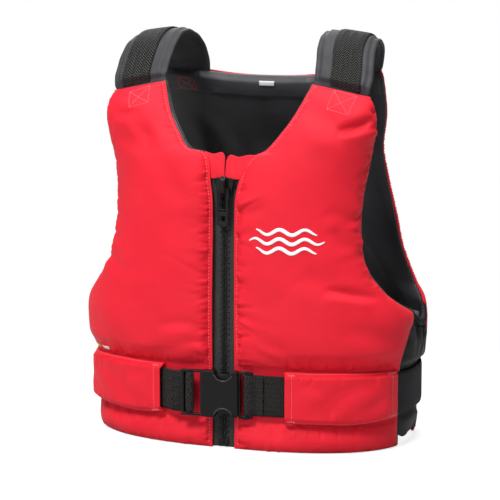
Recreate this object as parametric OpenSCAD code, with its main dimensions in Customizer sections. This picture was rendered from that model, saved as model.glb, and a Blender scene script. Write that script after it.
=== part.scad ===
// Kayaking buoyancy aid: two foam-filled front panels joined by a zip, one back panel,
// stretch sides, padded shoulders and a waist belt with a side-release buckle.
// Millimetres. X is across the body with the wearer's left at +X, the front faces -Y, Z is up.

/* [Body] */
// Width across the sides at the armholes
body_w = 406; // [390:1:430]
// Depth of the front half, from the armhole line to the zip
front_d = 118; // [110:1:128]
// Depth of the back half, from the armhole line to the back
back_d = 108; // [100:1:116]
// Height of the shoulder seam above the hem
seam_h = 422; // [400:1:440]
// Height of the crest of the shoulders above the shoulder seam
crest_h = 55; // [45:1:65]

/* [Panels] */
// How far the padded front stands out between its seams
front_puff = 13; // [6:1:16]
// How far the padded back stands out between its seams
back_puff = 10; // [5:1:14]
// Thickness of the buoyancy foam at the middle of a panel
foam_t = 26; // [16:1:32]
// Thickness of the woven cover and of the lining
cloth_t = 1.5; // [1.2:0.1:2]
// Clear space between layers that lie on each other
layer_gap = 0.3; // [0.2:0.1:0.5]

/* [Zip] */
// Height of the top of the zip above the hem
zip_h = 320; // [280:1:330]
// Distance from one tooth to the next on the same side
tooth_pitch = 6.4; // [5:0.1:8]
// Width of one closed row of teeth
chain_w = 12; // [10:0.5:14]
// Length of the puller
puller_l = 42; // [34:1:46]

/* [Belt] */
// Width of the waist webbing
belt_w = 48; // [44:1:50]
// Thickness of the webbing
belt_t = 2.2; // [1.8:0.1:2.4]
// Height of the middle of the belt above the hem
belt_z = 66; // [60:1:74]
// Height of the sewn tunnels that hold the belt
tunnel_h = 60; // [56:1:64]
// Width of the shoulder webbing
shoulder_web_w = 36; // [30:1:38]

/* [Buckle] */
// Length of the housing along the belt
housing_l = 45; // [42:1:48]
// Thickness of the closed buckle
buckle_t = 12.6; // [11:0.2:13]
// Radius of the finger notches
notch_r = 10.5; // [9:0.5:12]
// Turn of the buckle about the upright axis, in degrees
buckle_turn = 6; // [4:1:8]
// How far the tongue pulls out
tongue_travel = 36; // [30:1:38]

/* [Hidden] */
$fn = 48;
right = -1;
left = 1;

// Moves the garment so that its box is centred on the origin
mid_y = 5;

// Colours
red = [0.90, 0.16, 0.22];
black = [0.12, 0.12, 0.13];
dark = [0.20, 0.20, 0.22];
foam_grey = [0.75, 0.75, 0.72];
pale = [0.85, 0.85, 0.85];

// Girth of the garment by height: [height, half width, front depth, back depth, squareness]
girth = [
    [0, 0.473 * body_w, front_d, 0.98 * back_d, 2.5],
    [belt_z, 0.483 * body_w, front_d - 1, 0.96 * back_d, 2.5],
    [150, 0.5 * body_w, front_d + 0.5, back_d, 2.5],
    [250, 0.441 * body_w, front_d - 1.5, back_d + 4, 2.3],
    [330, 0.434 * body_w, front_d - 6.5, back_d - 10, 2.2],
    [385, 0.49 * body_w, front_d - 26, back_d - 40, 2.6],
    [seam_h, 0.512 * body_w, front_d - 48, back_d - 60, 3]];

// Edge of a front panel beside the zip and round the neck: [place, across, height]
neck_edge = [[0, 13.5, 0], [0.4, 13.5, 182], [0.7, 13.5, 318], [0.73, 14.2, 331], [0.75, 20, 338],
    [0.8, 44, 347], [0.86, 62, 366], [0.92, 76, 388], [1, 91, seam_h]];
// Edge of a front panel down the side and round the armhole: [place, across, height]
arm_edge = [[0, 187, 0], [0.2, 191, 90], [0.31, 200, 136], [0.36, 200, 158], [0.41, 180, 182],
    [0.5, 160, 212], [0.58, 152, 245], [0.68, 151, 290], [0.78, 157, 332], [0.9, 166, 382],
    [1, 158, 409]];
// The back panel reaches higher than the front panels, and leans forward to the shoulders
neck_rise = 8;
// Edge of the back panel as a turn about the upright axis: [place, degrees, height]
back_edge = [[0, 106, 0], [0.36, 106, 158], [0.41, 116, 178], [0.5, 121.5, 212],
    [0.6, 122.5, 255], [0.72, 127, 305], [0.84, 134.5, 355], [1, 146.5, seam_h + neck_rise]];
// Shoulder strap from front to back: [place, depth, height, inner edge, outer edge, fall outwards]
strap_path = [[0, -66, seam_h + 1.5, 92, 157, 12], [0.15, -57, seam_h + 0.33 * crest_h, 91, 159, 12],
    [0.34, -40, seam_h + 0.78 * crest_h, 88, 156, 10], [0.5, -17, seam_h + crest_h, 87, 153, 9],
    [0.66, 10, seam_h + 0.98 * crest_h, 86, 150, 8], [0.82, 34, seam_h + 0.74 * crest_h, 83, 146, 6],
    [0.93, 43, seam_h + 0.42 * crest_h, 80, 142, 3], [1, 45.5, seam_h + neck_rise + 3, 78, 140, 1]];

// Zip line: it leans back a little towards the neck
zip_lean = 1;
zip_depth = front_d - 3;
zip_start = 5;
tooth_h = 2.9;
tooth_t = 3.6;
tape_w = 13;
tape_t = 0.9;
slider_z = zip_h - 13;

// Layers
foam_edge = 7.4;
strap_t = 10;
tunnel_roof = 11.5;
tunnel_t = 2;
tunnel_in = 73;
tunnel_out = 186;
belt_lift = 2.4;
strip_end = 76;
belt_from = strip_end + tongue_travel + 2;

// Buckle
buckle_x = -1;
buckle_y = -(front_d + 8);
cavity_t = 6.4;
half_h = 27.2;
opening = belt_w / 2 + 0.3;
notch_x = 5;
prong_t = 5.6;
prong_root = [20, 15];
bar_t = 4.2;
inner_bar_x = -36;
outer_bar_x = -44.7;
tongue_bar_x = 33;
tongue_l = 16;

// Smooth curve through rows of [place, value, ...]: column k at place s
function row_at(s, rows, i = 0) =
    i >= len(rows) - 2 || s < rows[i + 1][0] ? i : row_at(s, rows, i + 1);
function slope(rows, i, k) = let (lo = max(i - 1, 0), hi = min(i + 1, len(rows) - 1))
    (rows[hi][k] - rows[lo][k]) / (rows[hi][0] - rows[lo][0]);
function curve(s, rows, k) = let (i = row_at(s, rows), h = rows[i + 1][0] - rows[i][0],
        u = min(max((s - rows[i][0]) / h, 0), 1), m = slope(rows, i, k) * h,
        n = slope(rows, i + 1, k) * h)
    (2 * u * u * u - 3 * u * u + 1) * rows[i][k] + (u * u * u - 2 * u * u + u) * m
    + (3 * u * u - 2 * u * u * u) * rows[i + 1][k] + (u * u * u - u * u) * n;
function signed_power(v, p) = sign(v) * pow(abs(v), p);
function ease(v) = let (u = min(max(v, 0), 1)) u * u * (3 - 2 * u);

// Point on the garment: turn t about the upright axis, height z, distance off outwards
function on_body(t, z, off) = let (p = 2 / curve(z, girth, 4),
        depth = curve(z, girth, cos(t) > 0 ? 2 : 3))
    [(curve(z, girth, 1) + off) * signed_power(sin(t), p),
     mid_y - (depth + off) * signed_power(cos(t), p), z];
// Turn of the place that lies x across at height z, on the front
function turn_at(x, z) = asin(pow(min(x / curve(z, girth, 1), 1), curve(z, girth, 4) / 2));
// Fullness of a padded panel: 0 at its seams and 1 in the middle
function dome(u, v) = pow(max(0, 1 - pow(abs(2 * u - 1), 3)), 0.6)
    * pow(max(0, 1 - pow(abs(2 * v - 1), 6)), 0.6);
// The belt presses the padding flat
function belt_press(z) = ease((abs(z - belt_z) - 40) / 24);

// Closed solid between two grids of points, each a list of rows
module skin(outer, inner) {
    rows = len(outer);
    cols = len(outer[0]);
    n = rows * cols;
    points = concat([for (r = outer) each r], [for (r = inner) each r]);
    function at(i, j) = i * cols + j;
    function quad(a, b, c, d) = [[a, b, c], [a, c, d]];
    faces = concat(
        [for (i = [0:rows - 2], j = [0:cols - 2])
            each quad(at(i, j), at(i, j + 1), at(i + 1, j + 1), at(i + 1, j))],
        [for (i = [0:rows - 2], j = [0:cols - 2])
            each quad(n + at(i, j), n + at(i + 1, j), n + at(i + 1, j + 1), n + at(i, j + 1))],
        [for (j = [0:cols - 2]) each quad(at(0, j), n + at(0, j), n + at(0, j + 1), at(0, j + 1))],
        [for (j = [0:cols - 2]) each quad(at(rows - 1, j), at(rows - 1, j + 1),
            n + at(rows - 1, j + 1), n + at(rows - 1, j))],
        [for (i = [0:rows - 2]) each quad(at(i, 0), at(i + 1, 0), n + at(i + 1, 0), n + at(i, 0))],
        [for (i = [0:rows - 2]) each quad(at(i, cols - 1), n + at(i, cols - 1),
            n + at(i + 1, cols - 1), at(i + 1, cols - 1))]);
    polyhedron(points, faces, convexity = 6);
}

// Mirrors the wearer's left-hand piece to the given side
module on_side(side) {
    if (side == left) children();
    else mirror([1, 0, 0]) children();
}

// Offset of one face of a layer of a padded panel: its layers follow the same grid
function cover_off(u, v, z, puff) = puff * dome(u, v) * belt_press(z);
function foam_in(u, v) = -foam_edge - foam_t * dome(u, v) * 0.8;
function face_off(kind, out, deep) = kind == "cover" ? out : kind == "under" ? out - cloth_t
    : kind == "foam" ? out - cloth_t - layer_gap : kind == "foam_back" ? deep
    : kind == "lining" ? deep - layer_gap : deep - layer_gap - cloth_t;

// Front panel at place u from zip to armhole and v from hem to shoulder
function front_at(u, v, lift) = let (
        x = (1 - u) * curve(v, neck_edge, 1) + u * curve(v, arm_edge, 1),
        z = (1 - u) * curve(v, neck_edge, 2) + u * curve(v, arm_edge, 2))
    on_body(turn_at(x, z), max(z, 0), lift);
function front_z(u, v) = (1 - u) * curve(v, neck_edge, 2) + u * curve(v, arm_edge, 2);
front_cols = 12;
front_rows = 18;
function front_layer(trim, kind) = [for (i = [trim:front_rows - trim])
    [for (j = [trim:front_cols - trim]) let (u = j / front_cols, v = i / front_rows)
        front_at(u, v, face_off(kind, cover_off(u, v, front_z(u, v), front_puff), foam_in(u, v)))]];

module front_cover(side) {
    color(red) on_side(side) skin(front_layer(0, "cover"), front_layer(0, "under"));
}
module foam_front(side) {
    color(foam_grey) on_side(side) skin(front_layer(1, "foam"), front_layer(1, "foam_back"));
}
module lining_front(side) {
    color(black) on_side(side) skin(front_layer(0, "lining"), front_layer(0, "lining_back"));
}

// Back panel at place u from the wearer's left to right and v from hem to neck
back_cols = 24;
back_rows = 18;
function back_layer(trim, kind) = [for (i = [trim:back_rows - trim])
    [for (j = [trim:back_cols - trim]) let (u = j / back_cols, v = i / back_rows,
            edge = curve(v, back_edge, 1), z = curve(v, back_edge, 2))
        on_body(edge + (360 - 2 * edge) * u, z,
            face_off(kind, cover_off(u, v, z, back_puff), foam_in(u, v)))]];

module back_cover() {
    color(red) skin(back_layer(0, "cover"), back_layer(0, "under"));
}
module foam_back() {
    color(foam_grey) skin(back_layer(1, "foam"), back_layer(1, "foam_back"));
}
module lining_back() {
    color(black) skin(back_layer(0, "lining"), back_layer(0, "lining_back"));
}

// Flat facing that closes the front above the zip
facing_in = 0.7;
facing_out = 12.3;
function facing_layer(off) = [for (z = [zip_h + 6, zip_h + 14, zip_h + 22])
    [for (x = [facing_in, facing_out / 2, facing_out]) on_body(turn_at(x, z), z, off)]];
module zip_facing(side) {
    color(red) on_side(side) skin(facing_layer(0), facing_layer(-cloth_t));
}

// Stretch side between the front and back panels
side_rows = 7;
side_cols = 6;
side_hem = 14;
side_top = 150;
side_dip = 14;
function side_front(z) = turn_at(curve(z / 440, arm_edge, 1), z) + 1.2;
function side_layer(off) = [for (i = [0:side_rows]) [for (j = [0:side_cols])
    let (top = side_top - side_dip * sin(180 * j / side_cols),
        z = side_hem + (top - side_hem) * i / side_rows, t0 = side_front(z), t1 = 103.5)
    on_body(t0 + (t1 - t0) * j / side_cols, z, off)]];
module side_panel(side) {
    color(black) on_side(side) skin(side_layer(-0.5), side_layer(-3));
}

// Elastic cord in the casing along the bottom of the armhole
elastic_r = 3;
elastic_up = 6;
elastic_steps = 10;
elastic_sides = 8;
function elastic_ring(j) = let (z = side_top + elastic_up - side_dip * sin(180 * j / elastic_steps),
        t0 = side_front(side_top) + 0.6, t = t0 + (103.5 - t0) * j / elastic_steps)
    [for (k = [0:elastic_sides - 1]) let (w = 360 * k / elastic_sides)
        on_body(t, z + elastic_r * cos(w), -2 + elastic_r * sin(w))];
module armhole_elastic(side) {
    n = elastic_sides;
    points = [for (j = [0:elastic_steps]) each elastic_ring(j)];
    color(dark) on_side(side) polyhedron(points, concat(
        [[for (k = [n - 1:-1:0]) k]], [[for (k = [0:n - 1]) elastic_steps * n + k]],
        [for (j = [0:elastic_steps - 1], k = [0:n - 1]) each [
            [j * n + k, j * n + (k + 1) % n, (j + 1) * n + (k + 1) % n],
            [j * n + k, (j + 1) * n + (k + 1) % n, (j + 1) * n + k]]]), convexity = 4);
}

// Strap over the shoulder: place s from front to back, w from 0 inside to 1 outside
function strap_tilt(s) = let (a = max(s - 0.02, 0), b = min(s + 0.02, 1))
    atan2(curve(b, strap_path, 2) - curve(a, strap_path, 2),
        curve(b, strap_path, 1) - curve(a, strap_path, 1));
function strap_at(s, w, off) = let (tilt = strap_tilt(s), inner = curve(s, strap_path, 3),
        outer = curve(s, strap_path, 4))
    [inner + (outer - inner) * w, mid_y + curve(s, strap_path, 1) - off * sin(tilt),
     curve(s, strap_path, 2) - curve(s, strap_path, 5) * w + off * cos(tilt)];
function strap_layer(s0, s1, steps, w0, w1, cols, off, crown) =
    [for (i = [0:steps]) [for (j = [0:cols])
        let (w = w0 + (w1 - w0) * j / cols, side = abs(2 * j / cols - 1))
        strap_at(s0 + (s1 - s0) * i / steps, w, off - crown * side * side * side)]];
module shoulder_pad(side) {
    color(black) on_side(side) skin(strap_layer(0.01, 0.99, 14, 0, 1, 4, strap_t / 2, 3),
        strap_layer(0.01, 0.99, 14, 0, 1, 4, -strap_t / 2, -3));
}
module shoulder_webbing(side) {
    web = shoulder_web_w / 62;
    w0 = 0.28;
    color(dark) on_side(side)
        skin(strap_layer(0.04, 0.96, 16, w0, w0 + web, 2, strap_t / 2 + layer_gap + belt_t, 0),
            strap_layer(0.04, 0.96, 16, w0, w0 + web, 2, strap_t / 2 + layer_gap, 0));
}

// Sewn tunnel that holds the belt against a front panel: open at both ends
tunnel_cols = 18;
function tunnel_line(z, off) = [for (j = [0:tunnel_cols])
    let (x = tunnel_in + (tunnel_out - tunnel_in) * j / tunnel_cols,
        out = off * ease((tunnel_cols - j) / tunnel_cols * 4 + 0.62))
    on_body(turn_at(x, belt_z), belt_z, out) + [0, 0, z - belt_z]];
module belt_tunnel(side) {
    lo = belt_z - tunnel_h / 2;
    hi = belt_z + tunnel_h / 2;
    roof = tunnel_roof + tunnel_t;
    color(red) on_side(side)
        skin([tunnel_line(lo, roof - 4), tunnel_line(lo + 4, roof), tunnel_line(hi - 4, roof),
                tunnel_line(hi, roof - 4)],
            [tunnel_line(lo, 3), tunnel_line(lo + 1.5, tunnel_roof - 1),
                tunnel_line(hi - 1.5, tunnel_roof - 1), tunnel_line(hi, 3)]);
}

// Belt round the sides and the back
belt_steps = 48;
function belt_line(z, off) = let (t0 = turn_at(belt_from, belt_z))
    [for (j = [0:belt_steps]) on_body(t0 + (360 - 2 * t0) * j / belt_steps, belt_z, off)
        + [0, 0, z - belt_z]];
module belt_webbing_back() {
    color(dark) skin([for (z = [-1, 1]) belt_line(belt_z + z * belt_w / 2, belt_lift + belt_t)],
        [for (z = [-1, 1]) belt_line(belt_z + z * belt_w / 2, belt_lift)]);
}

// Places a piece in the buckle's own frame: X along the belt, Y into the body, Z up
module in_buckle() {
    translate([buckle_x, mid_y + buckle_y, belt_z]) rotate([0, 0, buckle_turn]) children();
}
// Plate of an outline drawn in X and Z, centred on the buckle's middle plane
module plate(t, y = 0) {
    translate([0, y + t / 2, 0]) rotate([90, 0, 0]) linear_extrude(height = t) children();
}
module rounded(x0, x1, h, r) {
    hull() for (x = [x0 + r, x1 - r], z = [-h + r, h - r]) translate([x, z]) circle(r = r);
}

// Flat strap standing on edge along a path of [across, depth] points
function path_side(p, i) = let (a = p[max(i - 1, 0)], b = p[min(i + 1, len(p) - 1)], d = b - a)
    [-d[1], d[0]] / norm(d);
module strap(path) {
    sides = [for (k = [1, -1]) [for (i = [0:len(path) - 1])
        path[i] + k * belt_t / 2 * path_side(path, i)]];
    n = len(path);
    translate([0, 0, -belt_w / 2]) linear_extrude(height = belt_w)
        polygon(concat(sides[0], [for (i = [n - 1:-1:0]) sides[1][i]]));
}
// Half turn round a bar, from angle a to angle b
function turn_round(x, r, a, b) = [for (k = [0:8]) let (w = a + (b - a) * k / 8)
    [x + r * cos(w), r * sin(w)]];
// Place of the belt inside the tunnel, in the buckle's own frame
function in_tunnel(x) = let (p = on_body(-turn_at(x, belt_z), belt_z, belt_lift + belt_t / 2),
        q = [p[0] - buckle_x, p[1] - mid_y - buckle_y])
    [q[0] * cos(buckle_turn) + q[1] * sin(buckle_turn),
     q[1] * cos(buckle_turn) - q[0] * sin(buckle_turn)];

// End of the belt that winds through the bars of the housing
module belt_webbing_right() {
    low = bar_t / 2 + layer_gap + belt_t / 2;
    deep = low + belt_t + layer_gap;
    color(dark) in_buckle() strap(concat(
        [for (x = [belt_from - 2, 100, 88, 78]) in_tunnel(x)],
        [[outer_bar_x - 14, deep + 1], [outer_bar_x, deep], [inner_bar_x - 2, deep]],
        turn_round(inner_bar_x, low, 60, -60), turn_round(inner_bar_x, low, -90, -150),
        [[outer_bar_x + 4, 0.6], [outer_bar_x + 3.2, low - 0.2], [outer_bar_x, low],
         [outer_bar_x - 14, low + 0.2]]));
}

// End of the belt that is sewn round the bar of the tongue
module belt_webbing_left() {
    low = bar_t / 2 + layer_gap + belt_t / 2;
    color(dark) in_buckle() strap(concat([[strip_end - buckle_x, 0], [tongue_bar_x + 22, 0],
        [tongue_bar_x + 9, low * 0.8], [tongue_bar_x + 2, low]], turn_round(tongue_bar_x, low, 90, 270),
        [[tongue_bar_x + 2, -low], [tongue_bar_x + 9, 0.8 * low - belt_t - layer_gap],
         [tongue_bar_x + 19, -belt_t - layer_gap]]));
}

// Places a piece on the zip line: Y into the body, Z up along the teeth
module on_zip(z = 0) {
    translate([0, mid_y - zip_depth, 0]) rotate([-zip_lean, 0, 0]) translate([0, 0, z]) children();
}
module zip_tape(side) {
    color(black) on_side(side) on_zip(zip_start)
        translate([chain_w / 2, -tape_t / 2, 0]) cube([tape_w, tape_t, zip_h - zip_start]);
}
module zip_teeth(side) {
    first = zip_start + 6;
    count = floor((zip_h - first - 6) / tooth_pitch);
    shift = side == left ? 0 : tooth_pitch / 2;
    color(black) on_side(side) for (i = [0:count - 1])
        on_zip(first + shift + i * tooth_pitch)
            translate([-0.3 * chain_w, -tooth_t / 2, 0]) cube([0.8 * chain_w, tooth_t, tooth_h]);
}
module zip_top_stops() {
    color(black) for (side = [left, right]) on_side(side) on_zip(zip_h - 3.5)
        translate([1, -tooth_t / 2, 0]) cube([chain_w / 2 - 1, tooth_t, 3.5]);
}
module zip_retainer() {
    color(black) on_zip(1.5) {
        translate([-chain_w / 2, -2.6, 0]) cube([chain_w / 2 - 0.1, 5.2, 9]);
        translate([0.1, -2.2, 0]) cube([chain_w / 2 - 0.1, 4.4, 9]);
    }
}

// Slider: front plate with its side flanges and bridge, and the plate behind the tape
slider_l = 18;
slider_top_w = 24;
slider_low_w = 17;
plate_front = -4.7;
plate_back = -2.5;
window = [-9.2, -5.6, 13];
module slider_outline(top, low) {
    polygon([[-low / 2, -slider_l / 2], [low / 2, -slider_l / 2], [top / 2, slider_l / 2 - 4],
        [top / 2 - 3, slider_l / 2], [3 - top / 2, slider_l / 2], [-top / 2, slider_l / 2 - 4]]);
}
module zip_slider() {
    color(black) on_zip(slider_z) {
        difference() {
            plate(plate_back - plate_front + 1.4, (plate_back + 1.4 + plate_front) / 2)
                slider_outline(slider_top_w, slider_low_w);
            plate(3, plate_back + 1.5) slider_outline_gap();
        }
        translate([-3, 0, 0]) rotate([90, 0, 90]) linear_extrude(height = 6) difference() {
            polygon([[plate_front + 0.2, -9.4], [-9.4, -9.4], [-10.8, -7.6], [-10.8, 7.6],
                [-9.4, 9.4], [plate_front + 0.2, 9.4]]);
            translate([window[0], -window[2] / 2]) square([window[1] - window[0], window[2]]);
        }
        plate(1.3, 3.05) slider_outline(slider_top_w - 4, slider_low_w);
    }
}
module slider_outline_gap() {
    translate([-7.2, -slider_l]) square([14.4, 2 * slider_l]);
}

// Puller: a flat frame that hangs from the bridge
puller_axis = [(window[0] + window[1]) / 2, -4.8];
puller_t = 2.4;
module zip_puller() {
    color(black) on_zip(slider_z) translate([0, puller_axis[0], puller_axis[1]]) {
        rotate([0, 90, 0]) cylinder(h = 13, d = 2.6, center = true);
        plate(puller_t) difference() {
            polygon([[-7.8, -2], [-6.4, 2.1], [6.4, 2.1], [7.8, -2], [6.3, -puller_l + 3],
                [4.5, -puller_l], [-4.5, -puller_l], [-6.3, -puller_l + 3]]);
            translate([-3.8, -25]) square([7.6, 30]);
            translate([-3, 6 - puller_l]) square([6, 6]);
        }
    }
}

// Housing of the buckle with the two bars that the belt winds through
module housing_outline() {
    x0 = -housing_l / 2;
    difference() {
        rounded(x0, housing_l / 2, half_h, 4);
        for (k = [-1, 1]) translate([notch_x, k * half_h]) circle(r = notch_r);
    }
}
module buckle_housing() {
    x0 = -housing_l / 2;
    reach = outer_bar_x - bar_t / 2;
    color(black) in_buckle() {
        difference() {
            plate(buckle_t) housing_outline();
            translate([x0 + 7.5, -cavity_t / 2, -opening + 0.3])
                cube([housing_l, cavity_t, 2 * opening - 0.6]);
        }
        for (k = [-1, 1]) plate(bar_t + 1)
            translate([reach, k > 0 ? opening : -half_h]) square([x0 + 4 - reach, half_h - opening]);
        for (x = [outer_bar_x, inner_bar_x]) translate([x, 0, 0])
            cylinder(h = 2 * opening + 1, d = bar_t, center = true);
    }
}

// Frame of the tongue: guide, flange, side arms and the bar that the belt is sewn round
module buckle_tongue_frame() {
    face = housing_l / 2 + layer_gap;
    color(black) in_buckle() {
        plate(prong_t) {
            translate([-8, -5]) square([face + 9, 10]);
            translate([14, -9]) square([face - 13, 18]);
        }
        plate(bar_t + 4) translate([face, -half_h]) square([1.8, 2 * half_h]);
        for (k = [-1, 1]) plate(bar_t + 1)
            translate([face, k > 0 ? opening : -half_h]) square([tongue_l, half_h - opening]);
        translate([tongue_bar_x, 0, 0]) cylinder(h = 2 * opening + 1, d = bar_t, center = true);
    }
}

// Sprung prong: its head fills the finger notch
module prong_outline() {
    head_r = 22;
    root_r = 2.6;
    translate(prong_root) circle(r = root_r);
    polygon([prong_root - [0, root_r], prong_root + [0, root_r], [12, 20], [12, 13.6]]);
    intersection() {
        translate([3, opening - 0.7 - head_r]) circle(r = head_r);
        translate([-9, 12]) square([22, 14]);
    }
}
module buckle_prong(k) {
    color(black) in_buckle() plate(prong_t) scale([1, k]) prong_outline();
}

// Plain label sewn to the lining just below the back neck edge
module collar_label() {
    below = 1 - 1 / back_rows;
    function on_lining(u, v, off) = let (edge = curve(v, back_edge, 1))
        on_body(edge + (360 - 2 * edge) * u, curve(v, back_edge, 2),
            foam_in(u, v) - layer_gap - cloth_t - off);
    function row(share, off) = [for (u = [0.492, 0.501, 0.511])
        on_lining(u, below, off) * (1 - share) + on_lining(u, 1, off) * share];
    rows = [0.4, 0.6, 0.8];
    color(pale) skin([for (share = rows) row(share, 0.3)], [for (share = rows) row(share, 0.9)]);
}

front_cover(right);  // front_cover_right
front_cover(left);  // front_cover_left
foam_front(right);  // foam_front_right
foam_front(left);  // foam_front_left
lining_front(right);  // lining_front_right
lining_front(left);  // lining_front_left
back_cover();
foam_back();
lining_back();
zip_facing(right);  // zip_facing_right
zip_facing(left);  // zip_facing_left
side_panel(right);  // side_panel_right
side_panel(left);  // side_panel_left
armhole_elastic(right);  // armhole_elastic_right
armhole_elastic(left);  // armhole_elastic_left
shoulder_pad(right);  // shoulder_pad_right
shoulder_pad(left);  // shoulder_pad_left
shoulder_webbing(right);  // shoulder_webbing_right
shoulder_webbing(left);  // shoulder_webbing_left
belt_tunnel(right);  // belt_tunnel_right
belt_tunnel(left);  // belt_tunnel_left
belt_webbing_back();
belt_webbing_right();
belt_webbing_left();
zip_tape(right);  // zip_tape_right
zip_tape(left);  // zip_tape_left
zip_teeth(right);  // zip_teeth_right
zip_teeth(left);  // zip_teeth_left
zip_top_stops();
zip_retainer();
zip_slider();
zip_puller();
buckle_housing();
buckle_tongue_frame();
buckle_prong(1);  // buckle_prong_upper
buckle_prong(-1);  // buckle_prong_lower
collar_label();
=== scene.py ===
"""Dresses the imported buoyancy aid: padded covers, lining, webbing, zip and stitching."""
import math

import bmesh
import bpy
import numpy as np
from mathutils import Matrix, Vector


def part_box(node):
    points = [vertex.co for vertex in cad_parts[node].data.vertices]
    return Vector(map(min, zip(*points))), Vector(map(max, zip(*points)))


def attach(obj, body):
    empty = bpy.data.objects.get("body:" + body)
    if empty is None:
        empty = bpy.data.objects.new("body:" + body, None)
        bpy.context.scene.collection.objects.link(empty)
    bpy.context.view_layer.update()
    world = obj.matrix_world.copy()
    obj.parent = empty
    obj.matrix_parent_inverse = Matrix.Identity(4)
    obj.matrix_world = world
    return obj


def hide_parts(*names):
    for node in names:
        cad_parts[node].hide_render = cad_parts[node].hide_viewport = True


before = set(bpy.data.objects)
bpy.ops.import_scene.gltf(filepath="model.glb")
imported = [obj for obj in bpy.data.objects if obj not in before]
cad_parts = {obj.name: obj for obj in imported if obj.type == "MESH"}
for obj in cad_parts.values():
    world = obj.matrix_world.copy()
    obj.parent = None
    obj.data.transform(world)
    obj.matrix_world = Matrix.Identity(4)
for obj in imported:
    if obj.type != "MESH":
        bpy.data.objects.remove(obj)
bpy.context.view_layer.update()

# ------------------------------------------------------------------ driving dimensions, in mm
MM = 0.001
BODY_W = 406
FRONT_D = 118
BACK_D = 108
NECK_RISE = 8
SEAM_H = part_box("back_cover")[1][2] / MM - NECK_RISE
CREST_H = 55
MID_Y = 5
BELT_LOW, BELT_TOP = (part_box("belt_webbing_back")[k][2] / MM for k in (0, 1))
BELT_Z = (BELT_LOW + BELT_TOP) / 2
BELT_W = BELT_TOP - BELT_LOW
BELT_T = 2.2
PLY_GAP = 0.3
BELT_LIFT = 2.4
TUNNEL_H = 60
TUNNEL_IN, TUNNEL_OUT = 73, 186
TUNNEL_ROOF = 12
STRIP_END = 76
HIDDEN_BELT = 114
# The belt holds the panels flat this far from its middle, and they fill out over this height
FLAT_H, FILL_H = 31, 24
# Creases are held back this far past a tunnel, and come in over this height
LOW_BAND, LOW_FADE = 8, 6
FRONT_PUFF = 13
BACK_PUFF = 10
# Shares of that fullness at which the cloth starts, and below which the foam stops it
START_PUFF, LEAST_PUFF = 0.85, 0.84
FOAM_T = 26
CLOTH_T = 1.2
LINING_T = 0.9
STRAP_T = 10
WEB_W = 36
WEB_IN = 0.30
# Layers inside a panel: the share of the dome that the foam and the lining follow
SLAB_PUFF, SLAB_SHARE, LINING_SHARE = 0.4, 0.68, 0.85
SLAB_OUT, SLAB_IN = -2.6, -1.5
LINING_TOP = -CLOTH_T - 0.4

# Zip: it leans back a little towards the neck
ZIP_H = 320
ZIP_START = 5
ZIP_LEAN = math.radians(1)
ZIP_DEPTH = FRONT_D - 3
TOOTH_PITCH = 6.4
TOOTH_H = 2.9
# Slider below the top of the chain, puller's pivot below the slider, puller in front of the line
SLIDER_DROP, PIVOT_DROP, PULLER_FACE = 13, 4.8, -7.4
TAPE_OUT = 19
TAPE_T = 0.9
SEAM_X = 13.5
FACING_LOW = 314.5

# Buckle, in its own frame: X along the belt, Y into the body, Z up
BUCKLE_TURN = math.radians(6)
BUCKLE_AT = (-1, MID_Y - FRONT_D - 8, BELT_Z)
HOUSING_L = 45
HALF_H = 27.2
NOTCH_X = 5
NOTCH_R = 10.5
BUCKLE_T = 12.6
BAR_R = 2.1
BUCKLE_COS, BUCKLE_SIN = math.cos(BUCKLE_TURN), math.sin(BUCKLE_TURN)
INNER_BAR = -36
OUTER_BAR = -44.7
TONGUE_BAR = 33

STITCH_PITCH = 3.9
STITCH_IN = 4.2
SEED = 11
# A distance that is out of reach of every gather
FAR = 99
# How strongly the drawn creases show: their width and depth
CREASE_WIDTH = 1.2
CREASE_DEPTH = 1.7

# Girth of the garment by height: [height, half width, front depth, back depth, squareness]
GIRTH = np.array([
    [0, 0.473 * BODY_W, FRONT_D, 0.98 * BACK_D, 2.5],
    [BELT_Z, 0.483 * BODY_W, FRONT_D - 1, 0.96 * BACK_D, 2.5],
    [150, 0.5 * BODY_W, FRONT_D + 0.5, BACK_D, 2.5],
    [250, 0.441 * BODY_W, FRONT_D - 1.5, BACK_D + 4, 2.3],
    [330, 0.434 * BODY_W, FRONT_D - 6.5, BACK_D - 10, 2.2],
    [385, 0.49 * BODY_W, FRONT_D - 26, BACK_D - 40, 2.6],
    [SEAM_H, 0.512 * BODY_W, FRONT_D - 48, BACK_D - 60, 3]])
# Neck edge of a front panel above the facing: [place, across, height]
NECK_EDGE = [[0.8, 47, 348], [0.86, 62, 366], [0.92, 76, 388], [1, 91, SEAM_H]]
# Seam beside the zip and the facing for each side: it spreads outwards above the zip
SEAM_EDGE = {1: [[0, SEAM_X, 0], [0.4, SEAM_X, 182], [0.64, SEAM_X, 288], [0.69, 17.5, 311],
                 [0.73, 24.5, 330], [0.76, 33, 341]],
                 -1: [[0, SEAM_X, 0], [0.4, SEAM_X, 182], [0.64, SEAM_X, 288], [0.69, 16.5, 311],
                      [0.73, 19, 331], [0.76, 25, 343.5]]}
# Edge of a front panel down the side and round the armhole: [place, across, height]
ARM_EDGE = np.array([[0, 187, 0], [0.2, 191, 90], [0.31, 200, 136], [0.36, 200, 158],
                     [0.41, 180, 182], [0.5, 160, 212], [0.58, 152, 245], [0.68, 151, 290],
                     [0.78, 157, 332], [0.9, 166, 382], [1, 158, 409]])
# Edge of the back panel as a turn about the upright axis: [place, degrees, height]
BACK_EDGE = np.array([
    [0, 106, 0], [0.36, 106, 158], [0.41, 116, 178], [0.5, 121.5, 212], [0.6, 122.5, 255],
    [0.72, 127, 305], [0.84, 134.5, 355], [1, 146.5, SEAM_H + NECK_RISE]])
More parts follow.
